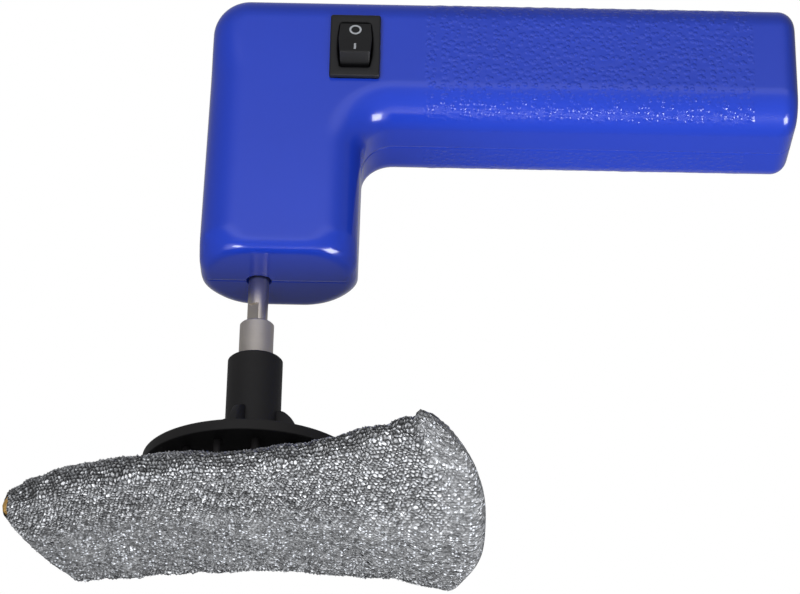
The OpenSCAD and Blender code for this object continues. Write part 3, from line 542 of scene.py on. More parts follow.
tree = casing_blue.node_tree
do = lambda *values: calc(tree, *values)
spots = add_node(tree, "TexVoronoi", {"voronoi_dimensions": "2D"}, Scale=1 / SPOT_PITCH,
                 Vector=attribute(tree, "grip_at", "Vector"))
luck = split(tree, spots["Color"])
far = do("/", spots["Distance"], do("*+", luck[0], SPOT_WIDER, SPOT_WIDTH))
cap = map_range(tree, far, SPOT_FLAT, 1.0, 1.0, 0.0)
dome = do("*", cap, do("*+", luck[1], SPOT_HIGHER, SPOT_RISE))
normal = tree.nodes["Principled BSDF"].inputs["Normal"]
raised = add_node(tree, "Bump", Distance=SPOT_HEIGHT, Height=do("*", dome, attribute(tree, "grip")),
                  Normal=normal.links[0].from_socket)
tree.links.new(raised[0], normal)
print("blue plastic has", len(tree.nodes), "nodes")


# %% [markdown]
# The flat map needs the length round the handle. Rays leave its middle from straight
# down, past the front, to straight up, and each is walked out to the skin. The steps
# between their ends add up to a table from direction to length.

# %% Length round the handle
HANDLE_MIDDLE, RAYS = np.array([97.0, 0.0, MIDDLE_Z]), 361
WALK_FROM, WALK_STEP, WALK_COUNT = 40.0, 0.7, 60


def length_along(line):
    return np.concatenate([[0], np.cumsum(norm(np.diff(line, axis=0), axis=1))])


turn = np.linspace(-np.pi / 2, np.pi / 2, RAYS)
ways = columns(0 * turn, -np.cos(turn), np.sin(turn))
reach = np.full(turn.shape, WALK_FROM)
for _ in range(WALK_COUNT):
    reach = reach - WALK_STEP * casing_distance(HANDLE_MIDDLE + ways * reach[:, None])
round_run = length_along(ways * reach[:, None])
print("half way round the handle:", round(float(round_run[-1]), 1), "mm")


# %% [markdown]
# The two halves part along the middle plane. Where they meet, each edge is drawn in
# a little, which leaves the fine groove that shows on the underside of the head. Along
# the handle the halves close tighter. On the map the halves lie far apart, so that
# they get different drops.

# %% Casing halves
SEAM_DEPTH, SEAM_GAP, SEAM_SHUT, SHUT_FROM, SHUT_TO, MAP_APART = 0.24, 0.03, 0.7, 40, 60, 200


def casing_half(name, side, node):
    kept = quads[np.sign(skin[quads][:, :, 1].mean(1)) == side]
    used, where = np.unique(kept, return_inverse=True)
    points, edge, inner = skin[used], on_seam[used], inward[used]
    shut = 1 - SEAM_SHUT * ease(SHUT_FROM, SHUT_TO, points[edge, 0])[:, None]
    points[edge] += (inner[edge] * SEAM_DEPTH + np.array([0, side * SEAM_GAP, 0])) * shut
    faces = where.reshape(kept.shape)
    lip = columns(faces, np.roll(faces, -1, axis=1)).reshape(-1, 2)
    lip = lip[edge[lip].all(1)]
    ring = np.unique(lip)
    deep = np.searchsorted(ring, lip) + len(points)
    points = np.concatenate([points, points[ring] + inner[ring] * WALL])
    half = new_piece(name, points, np.concatenate([faces, np.hstack([lip[:, ::-1], deep])]), casing_blue)
    marked = np.pad(gripped[used], (0, len(ring)))
    half.data.attributes.new("grip", "FLOAT", "POINT").data.foreach_set("value", marked)
    lean = np.arctan2(points[:, 2] - MIDDLE_Z, np.abs(points[:, 1]))
    length = np.interp(lean, turn, round_run)
    place = columns(points[:, 0] + MAP_APART * side, length, 0 * length) * MM
    half.data.attributes.new("grip_at", "FLOAT_VECTOR", "POINT").data.foreach_set("vector", place.ravel())
    stand_for(half, "casing", "casing_blue", node)
    return half


casing_half("casing_front_half", -1, "front_shell")
rear_half = casing_half("casing_rear_half", 1, "rear_shell")


# %% [markdown]
# Seen from behind, the rear half would mirror the small lamps as hard white lines along
# its lower edges. Light linking leaves this one piece out of them.

# %% Lamps and the rear half
unlit = bpy.data.collections.new("out_of_the_lamps")
unlit.objects.link(rear_half)
unlit.collection_objects[0].light_linking.link_state = "EXCLUDE"
for name in ("right_lamp", "left_lamp"):
    lamps[name].light_linking.receiver_collection = unlit
print("left out of the small lamps:", rear_half.name)


# %% [markdown]
# The switch is a moulded frame with a rocker in it. Both are drawn as outlines: the
# frame joins rings of points from its back, over its rounded front edge, into the
# well. The sides of the well and of the rocker swell a little towards the middle.

# %% Switch frame
FACE_Y, BEZEL, WELL, LAP = -21.0, (15.0, 21.0), (10.4, 15.4), 0.05
BEZEL_RISE, BODY_DEPTH, WELL_DEPTH, WELL_SWELL = 2.0, 12.5, 10.5, 0.7
BODY_CORNER, BEZEL_CORNER, WELL_CORNER = 0.6, 0.7, 0.9
BEZEL_LINE = ((0, 0), (0, -LAP), (0, 1.3), (0.08, 1.68), (0.32, 1.92), (0.65, BEZEL_RISE))
WELL_LINE = ((0.45, 0), (0.2, 0.07), (0.05, 0.25), (0, 0.5), (0, WELL_DEPTH))


def rounded_box(width, height, radius, per_edge=10, per_corner=6):
    w, h = width / 2 - radius, height / 2 - radius
    arcs = []
    for k, corner in enumerate([(w, -h), (w, h), (-w, h), (-w, -h)]):
        turns = np.radians(np.linspace(90 * k - 90, 90 * k, per_corner + 1))
        arcs.append(corner + radius * columns(np.cos(turns), np.sin(turns)))
    steps = np.linspace(0, 1, per_edge + 1)[1:-1, None]
    edges = [mix(arc[-1], ahead[0], steps) for arc, ahead in zip(arcs, arcs[1:] + arcs[:1])]
    return np.concatenate([part for pair in zip(arcs, edges) for part in pair])


def grown_box(size, grow, corner):
    return rounded_box(size[0] + 2 * grow, size[1] + 2 * grow, corner)


def well(grow):
    outline = grown_box(WELL, grow, WELL_CORNER)
    outline[:, 0] -= np.sign(outline[:, 0]) * WELL_SWELL * (outline[:, 1] / (WELL[1] / 2)) ** 2
    return outline


def join_rings(rings, closed=True):
    n, count = len(rings[0]), len(rings)
    faces = [[i * n + k, i * n + (k + 1) % n, (i + 1) * n + (k + 1) % n, (i + 1) * n + k]
             for i in range(count - 1) for k in range(n)]
    if closed:
        faces += [list(range(n))[::-1], list(range((count - 1) * n, count * n))]
    return np.concatenate(rings), faces


def switch_ring(outline, y):
    return columns(SWITCH_X + outline[:, 0], np.full(len(outline), y), SWITCH_Z + outline[:, 1])


switch_black = finish("switch_black", (0.008, 0.008, 0.009), (0.013, 0.013, 0.014), 0.5, scale=2500.0,
                      bump=0.25, Specular_IOR_Level=0.3)
rings = [switch_ring(rounded_box(*BODY, BODY_CORNER), FACE_Y + y) for y in (BODY_DEPTH, -LAP)]
rings += [switch_ring(grown_box(BEZEL, -inset, BEZEL_CORNER), FACE_Y - rise) for inset, rise in BEZEL_LINE]
rings += [switch_ring(well(grow), FACE_Y - BEZEL_RISE + drop) for grow, drop in WELL_LINE]
switch_frame = new_piece("switch_frame", *join_rings(rings), switch_black)
stand_for(switch_frame, "casing", "switch_black", "switch_housing")


# %% [markdown]
# The rocker is a bar with a shallow valley in its face. Its ends are square below and
# its edges are softly rounded, so it is an outline swept across its width.

# %% Rocker
PIVOT = np.array([SWITCH_X, -19.0, SWITCH_Z])
ROCKER_HALF, ROCKER_BACK_HALF, ROCKER_FRONT, ROCKER_BACK = 5.9, 7.2, 5.6, 1.0
ROCKER_WIDTH, ROCKER_TILT, ROCKER_VEE = 9.9, math.radians(14), math.tan(math.radians(4))
ROCKER_RISE, ROCKER_SWELL, ROCKER_CORE = ROCKER_HALF * ROCKER_VEE, 7.5, -2
ROCKER_LINE = [(0, -ROCKER_FRONT), (ROCKER_HALF, -ROCKER_FRONT - ROCKER_RISE), (ROCKER_BACK_HALF, ROCKER_BACK),
               (-ROCKER_BACK_HALF, ROCKER_BACK), (-ROCKER_HALF, -ROCKER_FRONT - ROCKER_RISE)]
ROCKER_EDGE = [(1, 0.5), (1, 0.15), (0.97, 0.04), (0.9, 0), (0.5, 0)]


def soft_corners(outline, radii, steps=5):
    made = []
    for i, corner in enumerate(np.array(outline, float)):
        if radii[i] == 0:
            made.append(corner)
            continue
        a, b = unit(outline[i - 1] - corner), unit(outline[(i + 1) % len(outline)] - corner)
        half = math.acos(np.clip(a @ b, -1, 1)) / 2
        reach = radii[i] / math.tan(half)
        centre = corner + unit(a + b) * radii[i] / math.sin(half)
        for t in np.linspace(0, 1, steps + 1):
            way = (corner + a * reach) * (1 - t) + (corner + b * reach) * t - centre
            made.append(centre + unit(way) * radii[i])
    return np.array(made)


def tilted(points):
    x, y, z = np.asarray(points, float).T
    c, s = math.cos(ROCKER_TILT), math.sin(ROCKER_TILT)
    return columns(x, y * c + z * s, z * c - y * s) + PIVOT


side_z, side_y = soft_corners(ROCKER_LINE, [6, 0.45, 0.6, 0.6, 0.45]).T
half = ROCKER_WIDTH / 2 - WELL_SWELL * (side_z / ROCKER_SWELL) ** 2
rings = []
for across, inset in [(-a, inset) for a, inset in ROCKER_EDGE] + [(0, 0)] + ROCKER_EDGE[::-1]:
    pull = 1 - inset / ROCKER_HALF
    ring = columns(across * half, ROCKER_CORE + (side_y - ROCKER_CORE) * pull, side_z * pull)
    rings.append(tilted(ring))
rocker_black = finish("rocker_black", (0.007, 0.007, 0.008), (0.011, 0.011, 0.012), 0.42, 0.12, 2500.0,
                      Specular_IOR_Level=0.3)
stand_for(new_piece("rocker", *join_rings(rings), rocker_black), "rocker", "rocker_black", "rocker_button")


# %% [markdown]
# The two marks on the rocker are pale plastic, set a hair above the face: a ring for
# off and a bar for on. They are swept outlines as well, so they keep crisp edges.

# %% Rocker marks
RING_AT, RING_OUT, RING_IN, RING_POINTS = 3.3, 1.82, 1.26, 48
BAR_AT, BAR_SIZE, BAR_CORNER, MARK_RISE, MARK_ROOT = -3.6, (0.62, 2.5), 0.1, 0.05, -0.1
mark_pale = finish("mark_pale", (0.37, 0.39, 0.42), (0.42, 0.44, 0.47), 0.5, 0.1, 2500.0, bump=0.05)


def circle(count):
    turns = np.linspace(0, 2 * math.pi, count + 1)[:-1]
    return columns(np.cos(turns), np.sin(turns))


def on_rocker(outline, along, lift):
    z = outline[:, 1] + along
    y = -ROCKER_FRONT - np.abs(z) * ROCKER_VEE - lift
    return tilted(columns(outline[:, 0], y, z))


ring_line = ((RING_OUT, MARK_ROOT), (RING_OUT, MARK_RISE), (RING_IN, MARK_RISE), (RING_IN, MARK_ROOT))
ring = join_rings([on_rocker(circle(RING_POINTS) * r, RING_AT, lift) for r, lift in ring_line], False)
bar_box = rounded_box(*BAR_SIZE, BAR_CORNER)
bar = join_rings([on_rocker(bar_box, BAR_AT, lift) for lift in (MARK_ROOT, MARK_RISE)])
for name, mesh in (("off_mark", ring), ("on_mark", bar)):
    stand_for(new_piece(name, *mesh, mark_pale, smooth=False), "rocker", "rocker_black")


# %% [markdown]
# Turned pieces are drawn as half a profile and spun round the spindle axis. Every
# corner of the profile gets its own small rounding, so edges catch the light.

# %% Spindle sleeve
SLEEVE_IN, SLEEVE_R, SLEEVE_LOW, SLEEVE_TOP, SLEEVE_EDGE = 3.05, 5.0, 41.2, 66.7, 0.4
SLEEVE_LINE = [(SLEEVE_IN, SLEEVE_LOW), (SLEEVE_R, SLEEVE_LOW), (SLEEVE_R, SLEEVE_TOP - SLEEVE_EDGE),
               (SLEEVE_R - SLEEVE_EDGE, SLEEVE_TOP), (SLEEVE_IN, SLEEVE_TOP)]


def spin(profile, segments=96):
    rings = [np.column_stack([r * circle(segments), np.full(segments, z)]) for r, z in profile]
    return join_rings(rings, False)


turned_steel = finish("turned_steel", (0.53, 0.49, 0.46), (0.67, 0.63, 0.59), 0.6, 0.2, lines=5000.0,
                      bump=0.25, depth=0.00002, metallic=1.0)
sleeve_line = soft_corners(SLEEVE_LINE, [0, 0.2, 0.15, 0.15, 0.08])
sleeve = new_piece("turned_sleeve", *spin(list(sleeve_line) + [sleeve_line[0]]), turned_steel)
stand_for(sleeve, "spindle", "turned_steel", "shaft_sleeve")


# %% [markdown]
# Hub, disc, webs and pegs are one black moulding. The round part is spun, the webs are
# flat plates with a curved back, and the pegs are short posts that hold the pad.

# %% Hub and disc
DISC_Z, DISC_TOP, DISC_R, DISC_IN, HUB_LOW = 20.3, 23.5, 31.0, 0.02, 43
HUB_IN, HUB_R, HUB_TOP, HUB_EDGE = SLEEVE_R + 0.02, 8.0, 55.2, 0.5
WEB_TURN, WEB_THICK, WEB_OUT, WEB_UP, WEB_IN, WEB_LOW = -22, 2.4, 7.0, 14.3, HUB_R - 3, DISC_TOP - 1
WEB_EDGE = ((1, 0.35), (0.9, 0.1), (0.72, 0), (-0.72, 0), (-0.9, 0.1), (-1, 0.35))
PEG_R, PEG_FOOT, PEG_LOW, PEG_TOP = 1.1, 1.25, 15.0, DISC_Z + 1
PEG_RING, PEG_COUNT, PEG_TURN = 24.0, 14, -84.5
HUB_LINE = [(HUB_IN, HUB_LOW), (HUB_IN, HUB_TOP), (HUB_R - HUB_EDGE, HUB_TOP), (HUB_R, HUB_TOP - HUB_EDGE),
            (HUB_R, DISC_TOP), (DISC_R, DISC_TOP), (DISC_R, DISC_Z), (DISC_IN, DISC_Z)]
hub_black = finish("hub_black", (0.008, 0.008, 0.009), (0.016, 0.015, 0.015), 0.6, 0.25, 600.0, bump=0.35,
                   depth=0.00008, Specular_IOR_Level=0.3)


def gather(*meshes):
    points, faces, base = [], [], 0
    for p, f in meshes:
        points.append(p)
        faces += [[base + i for i in face] for face in f]
        base += len(p)
    return np.concatenate(points), faces


def web(turn):
    curve = np.radians(np.linspace(0, 90, 14))
    back = columns(HUB_R + WEB_OUT * np.cos(curve), DISC_TOP + WEB_UP * np.sin(curve))
    foot, head = [(WEB_IN, WEB_LOW), (HUB_R + WEB_OUT, WEB_LOW)], [(WEB_IN, DISC_TOP + WEB_UP)]
    outline = np.concatenate([foot, back, head])
    rings = []
    for side, inset in WEB_EDGE:
        x, z = (outline - unit(outline - outline.mean(0)) * inset).T
        rings.append(columns(x, np.full(len(x), side * WEB_THICK / 2), z))
    points, faces = join_rings(rings)
    c, s = math.cos(math.radians(turn)), math.sin(math.radians(turn))
    return points @ np.array([[c, s, 0], [-s, c, 0], [0, 0, 1]]), faces


def peg(turn):
    line = [(0.01, PEG_LOW), (PEG_R, PEG_LOW), (PEG_FOOT, PEG_TOP), (0.01, PEG_TOP)]
    points, faces = spin(soft_corners(line, [0, 0.3, 0, 0]), 20)
    turn = math.radians(turn)
    return points + np.array([PEG_RING * math.cos(turn), PEG_RING * math.sin(turn), 0]), faces


hub_line = soft_corners(HUB_LINE, [0, 0.1, 0.2, 0.25, 0.8, 0.45, 0.35, 0])
moulding = gather(spin(hub_line[::-1]), *[web(WEB_TURN + 90 * k) for k in range(4)],
                  *[peg(PEG_TURN + 360 * k / PEG_COUNT) for k in range(PEG_COUNT)])
stand_for(new_piece("hub_and_disc", *moulding, hub_black), "spindle", "hub_black", "hub_disc")


# %% [markdown]
# The pad is a block of foam in a knitted sleeve. Seen from above it is a bent oblong,
# its near right corner curls up into an ear, and both ends are sewn shut. In its formula
# t runs along the pad, s across it, and up from the working face to the disc.

# %% Pad form
PAD_T, CROWN, EDGE_DROP, END_RISE, FOOT, SEWN = 15.0, 1.3, 6.4, 1.0, 0.5, 0.016
NEAR_LEFT, NEAR_RIGHT, FAR_LEFT, FAR_RIGHT = (-68.3, -11.165), (53.0, -38.5), (-52.0, 40.8), (58.3, 44.5)
NEAR_BOW, FAR_BOW = (23.8, 0.8, 0.35), (14.7, 1.35, 0.1)
RIGHT_BULGE, RIGHT_LEAN, LEFT_BULGE, TIP_FULL, END_FULL = 11.3, 0.23, -2.9, 0.85, 0.42
CURL, CURL_FROM, CURL_RUN, CURL_TO = 20.0, 0.47, 0.53, 0.915
EAR, EAR_DROOP, PANEL_EDGE, EAR_TIP = 3.8, 0.35, (0.935, 0.955), (0.97, 1)


def bow(t, depth, power, fall):
    return depth * np.sin(np.pi * t**power) * (1 - fall * t)


def pad_point(t, s, up, inset=0.0):
    k = (s + 1) / 2
    x = mix(mix(NEAR_LEFT[0], NEAR_RIGHT[0], t), mix(FAR_LEFT[0], FAR_RIGHT[0], t), k)
    near_y = mix(NEAR_LEFT[1], NEAR_RIGHT[1], t) - bow(t, *NEAR_BOW)
    y = mix(near_y, mix(FAR_LEFT[1], FAR_RIGHT[1], t) - bow(t, *FAR_BOW), k)
    bulge = np.where(t > 0.5, RIGHT_BULGE * (1 - RIGHT_LEAN * s), LEFT_BULGE)
    x = x + bulge * np.abs(2 * t - 1) ** 5 * (1 - np.abs(s) ** 3)
    end_full = np.where(t < 0.5, mix(TIP_FULL, END_FULL, k), END_FULL)
    full = mix(end_full, 1, np.sqrt(np.clip(1 - (2 * t - 1) ** 6, 0, 1)))
    end = np.clip(np.minimum(t, 1 - t) / SEWN, 0, 1)
    closing = np.sqrt(np.clip(1 - (1 - end) ** 2, 0, 1))
    near = np.clip(-s, 0, 1)
    lift = CURL * np.clip((np.minimum(t, CURL_TO) - CURL_FROM) / CURL_RUN, 0, 1) ** 1.8 * near**1.2
    lift = lift + EAR * ease(*PANEL_EDGE, t) * (1 - EAR_DROOP * ease(*EAR_TIP, t)) * near**4
    thick = (PAD_T + CROWN - EDGE_DROP * s * s) * full - 2 * inset
    low = lift + inset + END_RISE * (1 - full) - FOOT
    z = low + thick / 2 + thick * closing * up / 2
    return columns(x, y, z)


def pad_grid(rings, around, inset=0.0):
    turn = np.linspace(0, 2 * np.pi, 1441)
    root = lambda v: np.sign(v) * np.sqrt(np.abs(v))
    s_all, up_all = root(np.cos(turn)), root(np.sin(turn))
    along = np.linspace(0, 1, rings)
    s, up = np.zeros((rings, around)), np.zeros((rings, around))
    for i, t in enumerate(along):
        line = pad_point(np.full_like(turn, t), s_all, up_all, inset)
        run = length_along(line)
        stops = np.linspace(0, run[-1], around + 1)[:-1]
        s[i], up[i] = np.interp(stops, run, s_all), np.interp(stops, run, up_all)
    return np.repeat(along[:, None], around, axis=1), s, up


def grid_normals(p):
    return unit(np.cross(np.roll(p, -1, axis=1) - np.roll(p, 1, axis=1), np.gradient(p, axis=0)))


def grid_faces(rings, around):
    i, j = np.meshgrid(np.arange(rings - 1), np.arange(around), indexing="ij")
    k = (j + 1) % around
    corners = [i * around + j, (i + 1) * around + j, (i + 1) * around + k, i * around + k]
    first = np.arange(around)
    ends = [first.tolist(), (first + (rings - 1) * around)[::-1].tolist()]
    return np.stack(corners, axis=-1).reshape(-1, 4), ends


print("pad corners:", NEAR_LEFT, NEAR_RIGHT, FAR_LEFT, FAR_RIGHT)


# %% [markdown]
# Fabric over foam swells between its seams. A coarse copy of the pad is blown up a
# little as cloth, and only the difference is kept. It is then spread over the fine
# grid, so the swelling is simulated while every stitch keeps its place.

# %% Swelling by cloth
SIM_RINGS, SIM_AROUND, SIM_FRAMES, SIM_CAP, PRESSURE, STIFFNESS = 58, 72, 16, 1.1, 4, 40
HELD_UP, HELD_ACROSS, HELD_R = 0.9, 0.8, 30


def swelling():
    t, s, up = (grid[1:-1] for grid in pad_grid(SIM_RINGS, SIM_AROUND))
    p = pad_point(t, s, up)
    rings = SIM_RINGS - 2
    sides, ends = grid_faces(rings, SIM_AROUND)
    trial = new_piece("pad_trial", p.reshape(-1, 3), sides.tolist() + ends, None)
    held = np.zeros(up.shape, bool)
    held[[0, 1, -2, -1]] = True
    held |= (up < -HELD_UP) & (np.abs(s) < HELD_ACROSS)
    held |= (up > HELD_UP) & (np.hypot(p[..., 0], p[..., 1]) < HELD_R)
    trial.vertex_groups.new(name="held").add(np.nonzero(held.ravel())[0].tolist(), 1.0, "REPLACE")
    cloth = trial.modifiers.new("cloth", "CLOTH").settings
    cloth.vertex_group_mass = "held"
    cloth.use_pressure = True
    cloth.uniform_pressure_force = PRESSURE
    cloth.tension_stiffness = cloth.compression_stiffness = STIFFNESS
    cloth.effector_weights.gravity = 0
    for step in range(1, SIM_FRAMES + 1):
        scene.frame_set(step)
    baked = trial.evaluated_get(bpy.context.evaluated_depsgraph_get()).to_mesh()
    moved = np.zeros(p.size)
    baked.vertices.foreach_get("co", moved)
    scene.frame_set(1)
    bpy.data.objects.remove(trial)
    change = moved.reshape(p.shape) / MM - p
    size = norm(change, axis=2, keepdims=True)
    print("cloth moved the pad by up to", round(float(size.max()), 2), "mm, kept to", SIM_CAP)
    return np.pad(change * np.minimum(1, SIM_CAP / np.maximum(size, 1e-9)), ((1, 1), (0, 0), (0, 0)))


def spread(change, rings, around):
    i = np.linspace(0, change.shape[0] - 1, rings)
    j = np.linspace(0, change.shape[1], around + 1)[:-1]
    a, b = np.minimum(i.astype(int), change.shape[0] - 2), j.astype(int)
    u, v = (i - a)[:, None, None], (j - b)[None, :, None]
    c = (b + 1) % change.shape[1]
    low = mix(change[a][:, b], change[a][:, c], v)
    high = mix(change[a + 1][:, b], change[a + 1][:, c], v)
    return mix(low, high, u)


swell = swelling()


# %% [markdown]
# Every stitch is a small loop of flat metallic yarn, just over a millimetre wide, and
# each row is set half a loop aside. Two quads for one loop, both ways, make a loop a real
# bump and the edge of the pad fuzzy. The far part of the working face and the panel at
# the right end are pressed flatter.

# %% Knitted cover
LOOPS_LONG, LOOPS_ROUND, LOOP_HEIGHT, KNIT_SEED, FULL_TURN = 126, 150, 0.5, 21, 6.28
WAVES, WAVE_PITCH, WAVE_HEIGHT, WAVE_END = 14, 0.16, 0.16, 0.06
STRAYS, STRAY_PITCH, STRAY_SHIFT, STRAY_END = 10, 0.6, 0.12, 0.05
PUCKER, PUCKER_DEPTH, PUCKER_WIDTH = np.array([13.0, -34.0, 0.0]), 1.6, 3.2
BELOW_EDGE, PRESSED_EDGE, BELOW_LIFT, PRESSED_LIFT = (0.75, 0.95), (-0.5, 0.05), 1.0, 0.7
LOOP_TOP, LOOP_SIDE, LOOP_UNEVEN, LOOP_PRESSED, LOOP_END, FUZZ = (0.5, 1.25), 0.35, 0.12, 0.6, 0.02, 0.09
DISC_CEILING, OPEN_CEILING, CEILING_EDGE, LOWEST = 14.85, 30.0, (27.0, 33.0), -0.25
rings, around = 2 * LOOPS_LONG + 1, 2 * LOOPS_ROUND
chance = np.random.default_rng(KNIT_SEED)
t, s, up = pad_grid(rings, around)
from_end = np.minimum(t, 1 - t)
pad = pad_point(t, s, up) + spread(swell, rings, around)
out = grid_normals(pad)

waves = np.zeros(t.shape)
for _ in range(WAVES):
    way, phase = chance.normal(0, WAVE_PITCH, 3), chance.uniform(0, FULL_TURN)
    waves += np.sin(pad @ way + phase)
pad = pad + out * (WAVE_HEIGHT * waves * ease(0, WAVE_END, from_end))[..., None]
far = norm(pad - PUCKER, axis=2)
pad = pad - out * (PUCKER_DEPTH * np.exp(-((far / PUCKER_WIDTH) ** 2)))[..., None]
for _ in range(STRAYS):
    way, phase = chance.normal(0, STRAY_PITCH, 3), chance.uniform(0, FULL_TURN)
    shift = chance.normal(0, STRAY_SHIFT, 3)
    pad = pad + (np.sin(pad @ way + phase) * ease(0, STRAY_END, from_end))[..., None] * shift

below = ease(*BELOW_EDGE, -up)
pressed = np.maximum(below * ease(*PRESSED_EDGE, s), ease(*PANEL_EDGE, t))
pad[..., 2] += mix(BELOW_LIFT, PRESSED_LIFT, pressed) * below
i, j = np.meshgrid(np.arange(rings), np.arange(around), indexing="ij")
top_of_loop = (j % 2 == 1) & ((i + j // 2) % 2 == 1)
side_of_loop = (j % 2 == 1) & ~top_of_loop
loop = np.where(top_of_loop, chance.uniform(*LOOP_TOP, t.shape), np.where(side_of_loop, LOOP_SIDE, 0.0))
loop = loop + chance.normal(0, LOOP_UNEVEN, t.shape)
shy = ease(0, LOOP_END, from_end)
pad = pad + out * (LOOP_HEIGHT * loop * mix(1.0, LOOP_PRESSED, pressed) * shy)[..., None]
pad = pad + chance.normal(0, FUZZ, pad.shape) * shy[..., None]

reach = np.hypot(pad[..., 0], pad[..., 1])
ceiling = mix(DISC_CEILING, OPEN_CEILING, ease(*CEILING_EDGE, reach))
pad[..., 2] = np.where(up > 0, np.minimum(pad[..., 2], ceiling), pad[..., 2])
pad[..., 2] = np.maximum(pad[..., 2], LOWEST)
print("pad grid:", pad.shape, "lowest", pad[..., 2].min(), "highest", pad[..., 2].max())


# %% [markdown]
# The yarn is a flat strip of metallised film, so each loop throws its light in its own
# direction. The finish finds the loop under each point, gives it a tilt, a brightness
# and a gloss by chance, and paints shade into the colour of the gaps between loops.
# Where the knit is pressed, the painted gap shade is lighter, and small pale dots are
# painted into the colour, less metallic, as painted glints of the film lying flat.

# %% Metallic knit
# The dark colour is reached by dark loops and by the painted shade in the gaps between loops; the blue-white
# one is a painted glint.
DARK_YARN_AND_GAP_SHADE, PALE_YARN, PAINTED_GLINT = (0.035, 0.036, 0.038, 1), (0.86, 0.88, 0.92, 1), (0.88, 0.92, 1.0, 1)
WANDER_SCALE, WANDER, FIBRE_SCALE, LOOP_FLAT, LOOP_EDGE = 0.8, (0.9, 0.9, 0), 6.0, 0.15, 0.55
TILT, DOME, FIBRE, YARN_DEPTH = 3.2, 0.8, 0.35, 0.0005
BRIGHT_POWER, BRIGHT, DULL, GAP_PRESSED, FIBRE_SHADE, FIBRE_DARK = 1.6, 0.75, 0.25, 0.3, 0.8, 0.6
GLINT_SCALE, GLINT_SHARE, GLINT_SIZE, GLINT_MORE, GLINT_LEAST = 1100.0, (0.6, 0.75), (0.5, 0.25), 0.7, 0.3
FLAT_SHADE, FLAT_BASE, YARN_METAL, YARN_ROUGH, YARN_SPREAD = 0.4, 0.12, 0.35, 0.22, 0.35
metallic_knit, tree, shader = new_material("metallic_knit")
do = lambda *values: calc(tree, *values)
uv = add_node(tree, "UVMap", {"uv_map": "knit"})[0]
wander = add_node(tree, "TexNoise", Vector=uv, Scale=WANDER_SCALE, Detail=1.0)["Color"]
wander = vectors(tree, "SUBTRACT", wander, (0.5, 0.5, 0.5))[0]
at = split(tree, vectors(tree, "MULTIPLY_ADD", wander, WANDER, uv)[0])
row = do("FLOOR", at["Y"])
along = do("*+", do("FLOORED_MODULO", row, 2.0), 0.5, at["X"])
loop_id = add_node(tree, "CombineXYZ", X=do("FLOOR", along), Y=row)[0]
across = do("-", do("FRACT", along), 0.5)
over = do("-", do("FRACT", at["Y"]), 0.5)
luck = add_node(tree, "TexWhiteNoise", Vector=loop_id)
part = split(tree, luck["Color"])
far = do("SQRT", do("*+", across, across, do("*", over, over)))
dome = map_range(tree, far, LOOP_FLAT, LOOP_EDGE, 1.0, 0.0)
lean = do("*", across, do("-", part["X"], 0.5))
lean = do("*+", over, do("-", part["Y"], 0.5), lean)
fibre = noise(tree, uv, FIBRE_SCALE)
flat = attribute(tree, "pressed")
height = do("*+", dome, DOME, do("*", fibre, FIBRE))
height = do("*+", lean, TILT, height)
bright = do("*+", do("POWER", part["Z"], BRIGHT_POWER), BRIGHT, DULL)
# Painted shade: the colour darkens from the top of each loop into the gaps, less where the knit is pressed.
filled = do("*", dome, do("*+", flat, -GAP_PRESSED, 1.0))
filled = do("*+", flat, GAP_PRESSED, filled)
shade = do("*", filled, do("*+", fibre, FIBRE_SHADE, FIBRE_DARK))
shade = do("*", bright, shade)
# Painted highlights: small pale dots are mixed into the colour, and made less metallic, to stand for glints of
# film lying flat.
spot = add_node(tree, "TexCoord")["Object"]
spots = add_node(tree, "TexVoronoi", Vector=spot, Scale=GLINT_SCALE)
painted_glint = do("*", map_range(tree, split(tree, spots["Color"])["X"], *GLINT_SHARE, kind="LINEAR"),
           map_range(tree, spots["Distance"], *GLINT_SIZE, kind="LINEAR"))
painted_glint = do("*", painted_glint, do("*+", flat, GLINT_MORE, GLINT_LEAST))
flat_shade = do("*+", shade, FLAT_SHADE, FLAT_BASE)
shade = add_node(tree, "Mix", _0=flat, _2=shade, _3=flat_shade)[0]
colour = blend(tree, painted_glint, blend(tree, shade, DARK_YARN_AND_GAP_SHADE, PALE_YARN), PAINTED_GLINT)
raised = add_node(tree, "Bump", Distance=YARN_DEPTH, Height=height)
link(tree, shader.inputs, Base_Color=colour, Normal=raised[0],
     Metallic=do("*+", painted_glint, -YARN_METAL, YARN_METAL),
     Roughness=do("*+", luck["Value"], YARN_SPREAD, YARN_ROUGH))
print("metallic knit has", len(tree.nodes), "nodes")


# %% [markdown]
# The cover is the grid without its two closed ends, with a small gap at the left tip,
# where the stitches have come undone. Its map counts loops, two quads to each.

# %% Cover piece
GAP_T, GAP_S = 0.012, -0.9
sides, _ = grid_faces(rings, around)
first = sides[:, 0]
kept = sides[~((t.ravel()[first] < GAP_T) & (s.ravel()[first] < GAP_S))]
knit_cover = new_piece("knit_cover", pad.reshape(-1, 3), kept, metallic_knit)
i, j = kept[:, 0] // around, kept[:, 0] % around
corners = np.stack([columns(i + a, j + b) for a, b in SQUARE], axis=1) / 2
knit_cover.data.uv_layers.new(name="knit").data.foreach_set("uv", corners.ravel())
knit_cover.data.attributes.new("pressed", "FLOAT", "POINT").data.foreach_set("value", pressed.ravel())
stand_for(knit_cover, "spindle", "metallic_knit", "pad_cover")


# %% [markdown]
# The foam block fills the sleeve, with both its ends closed. At the left tip, where the
# stitches are undone, a bit of the yellow foam shows, so there it reaches out to the cover.

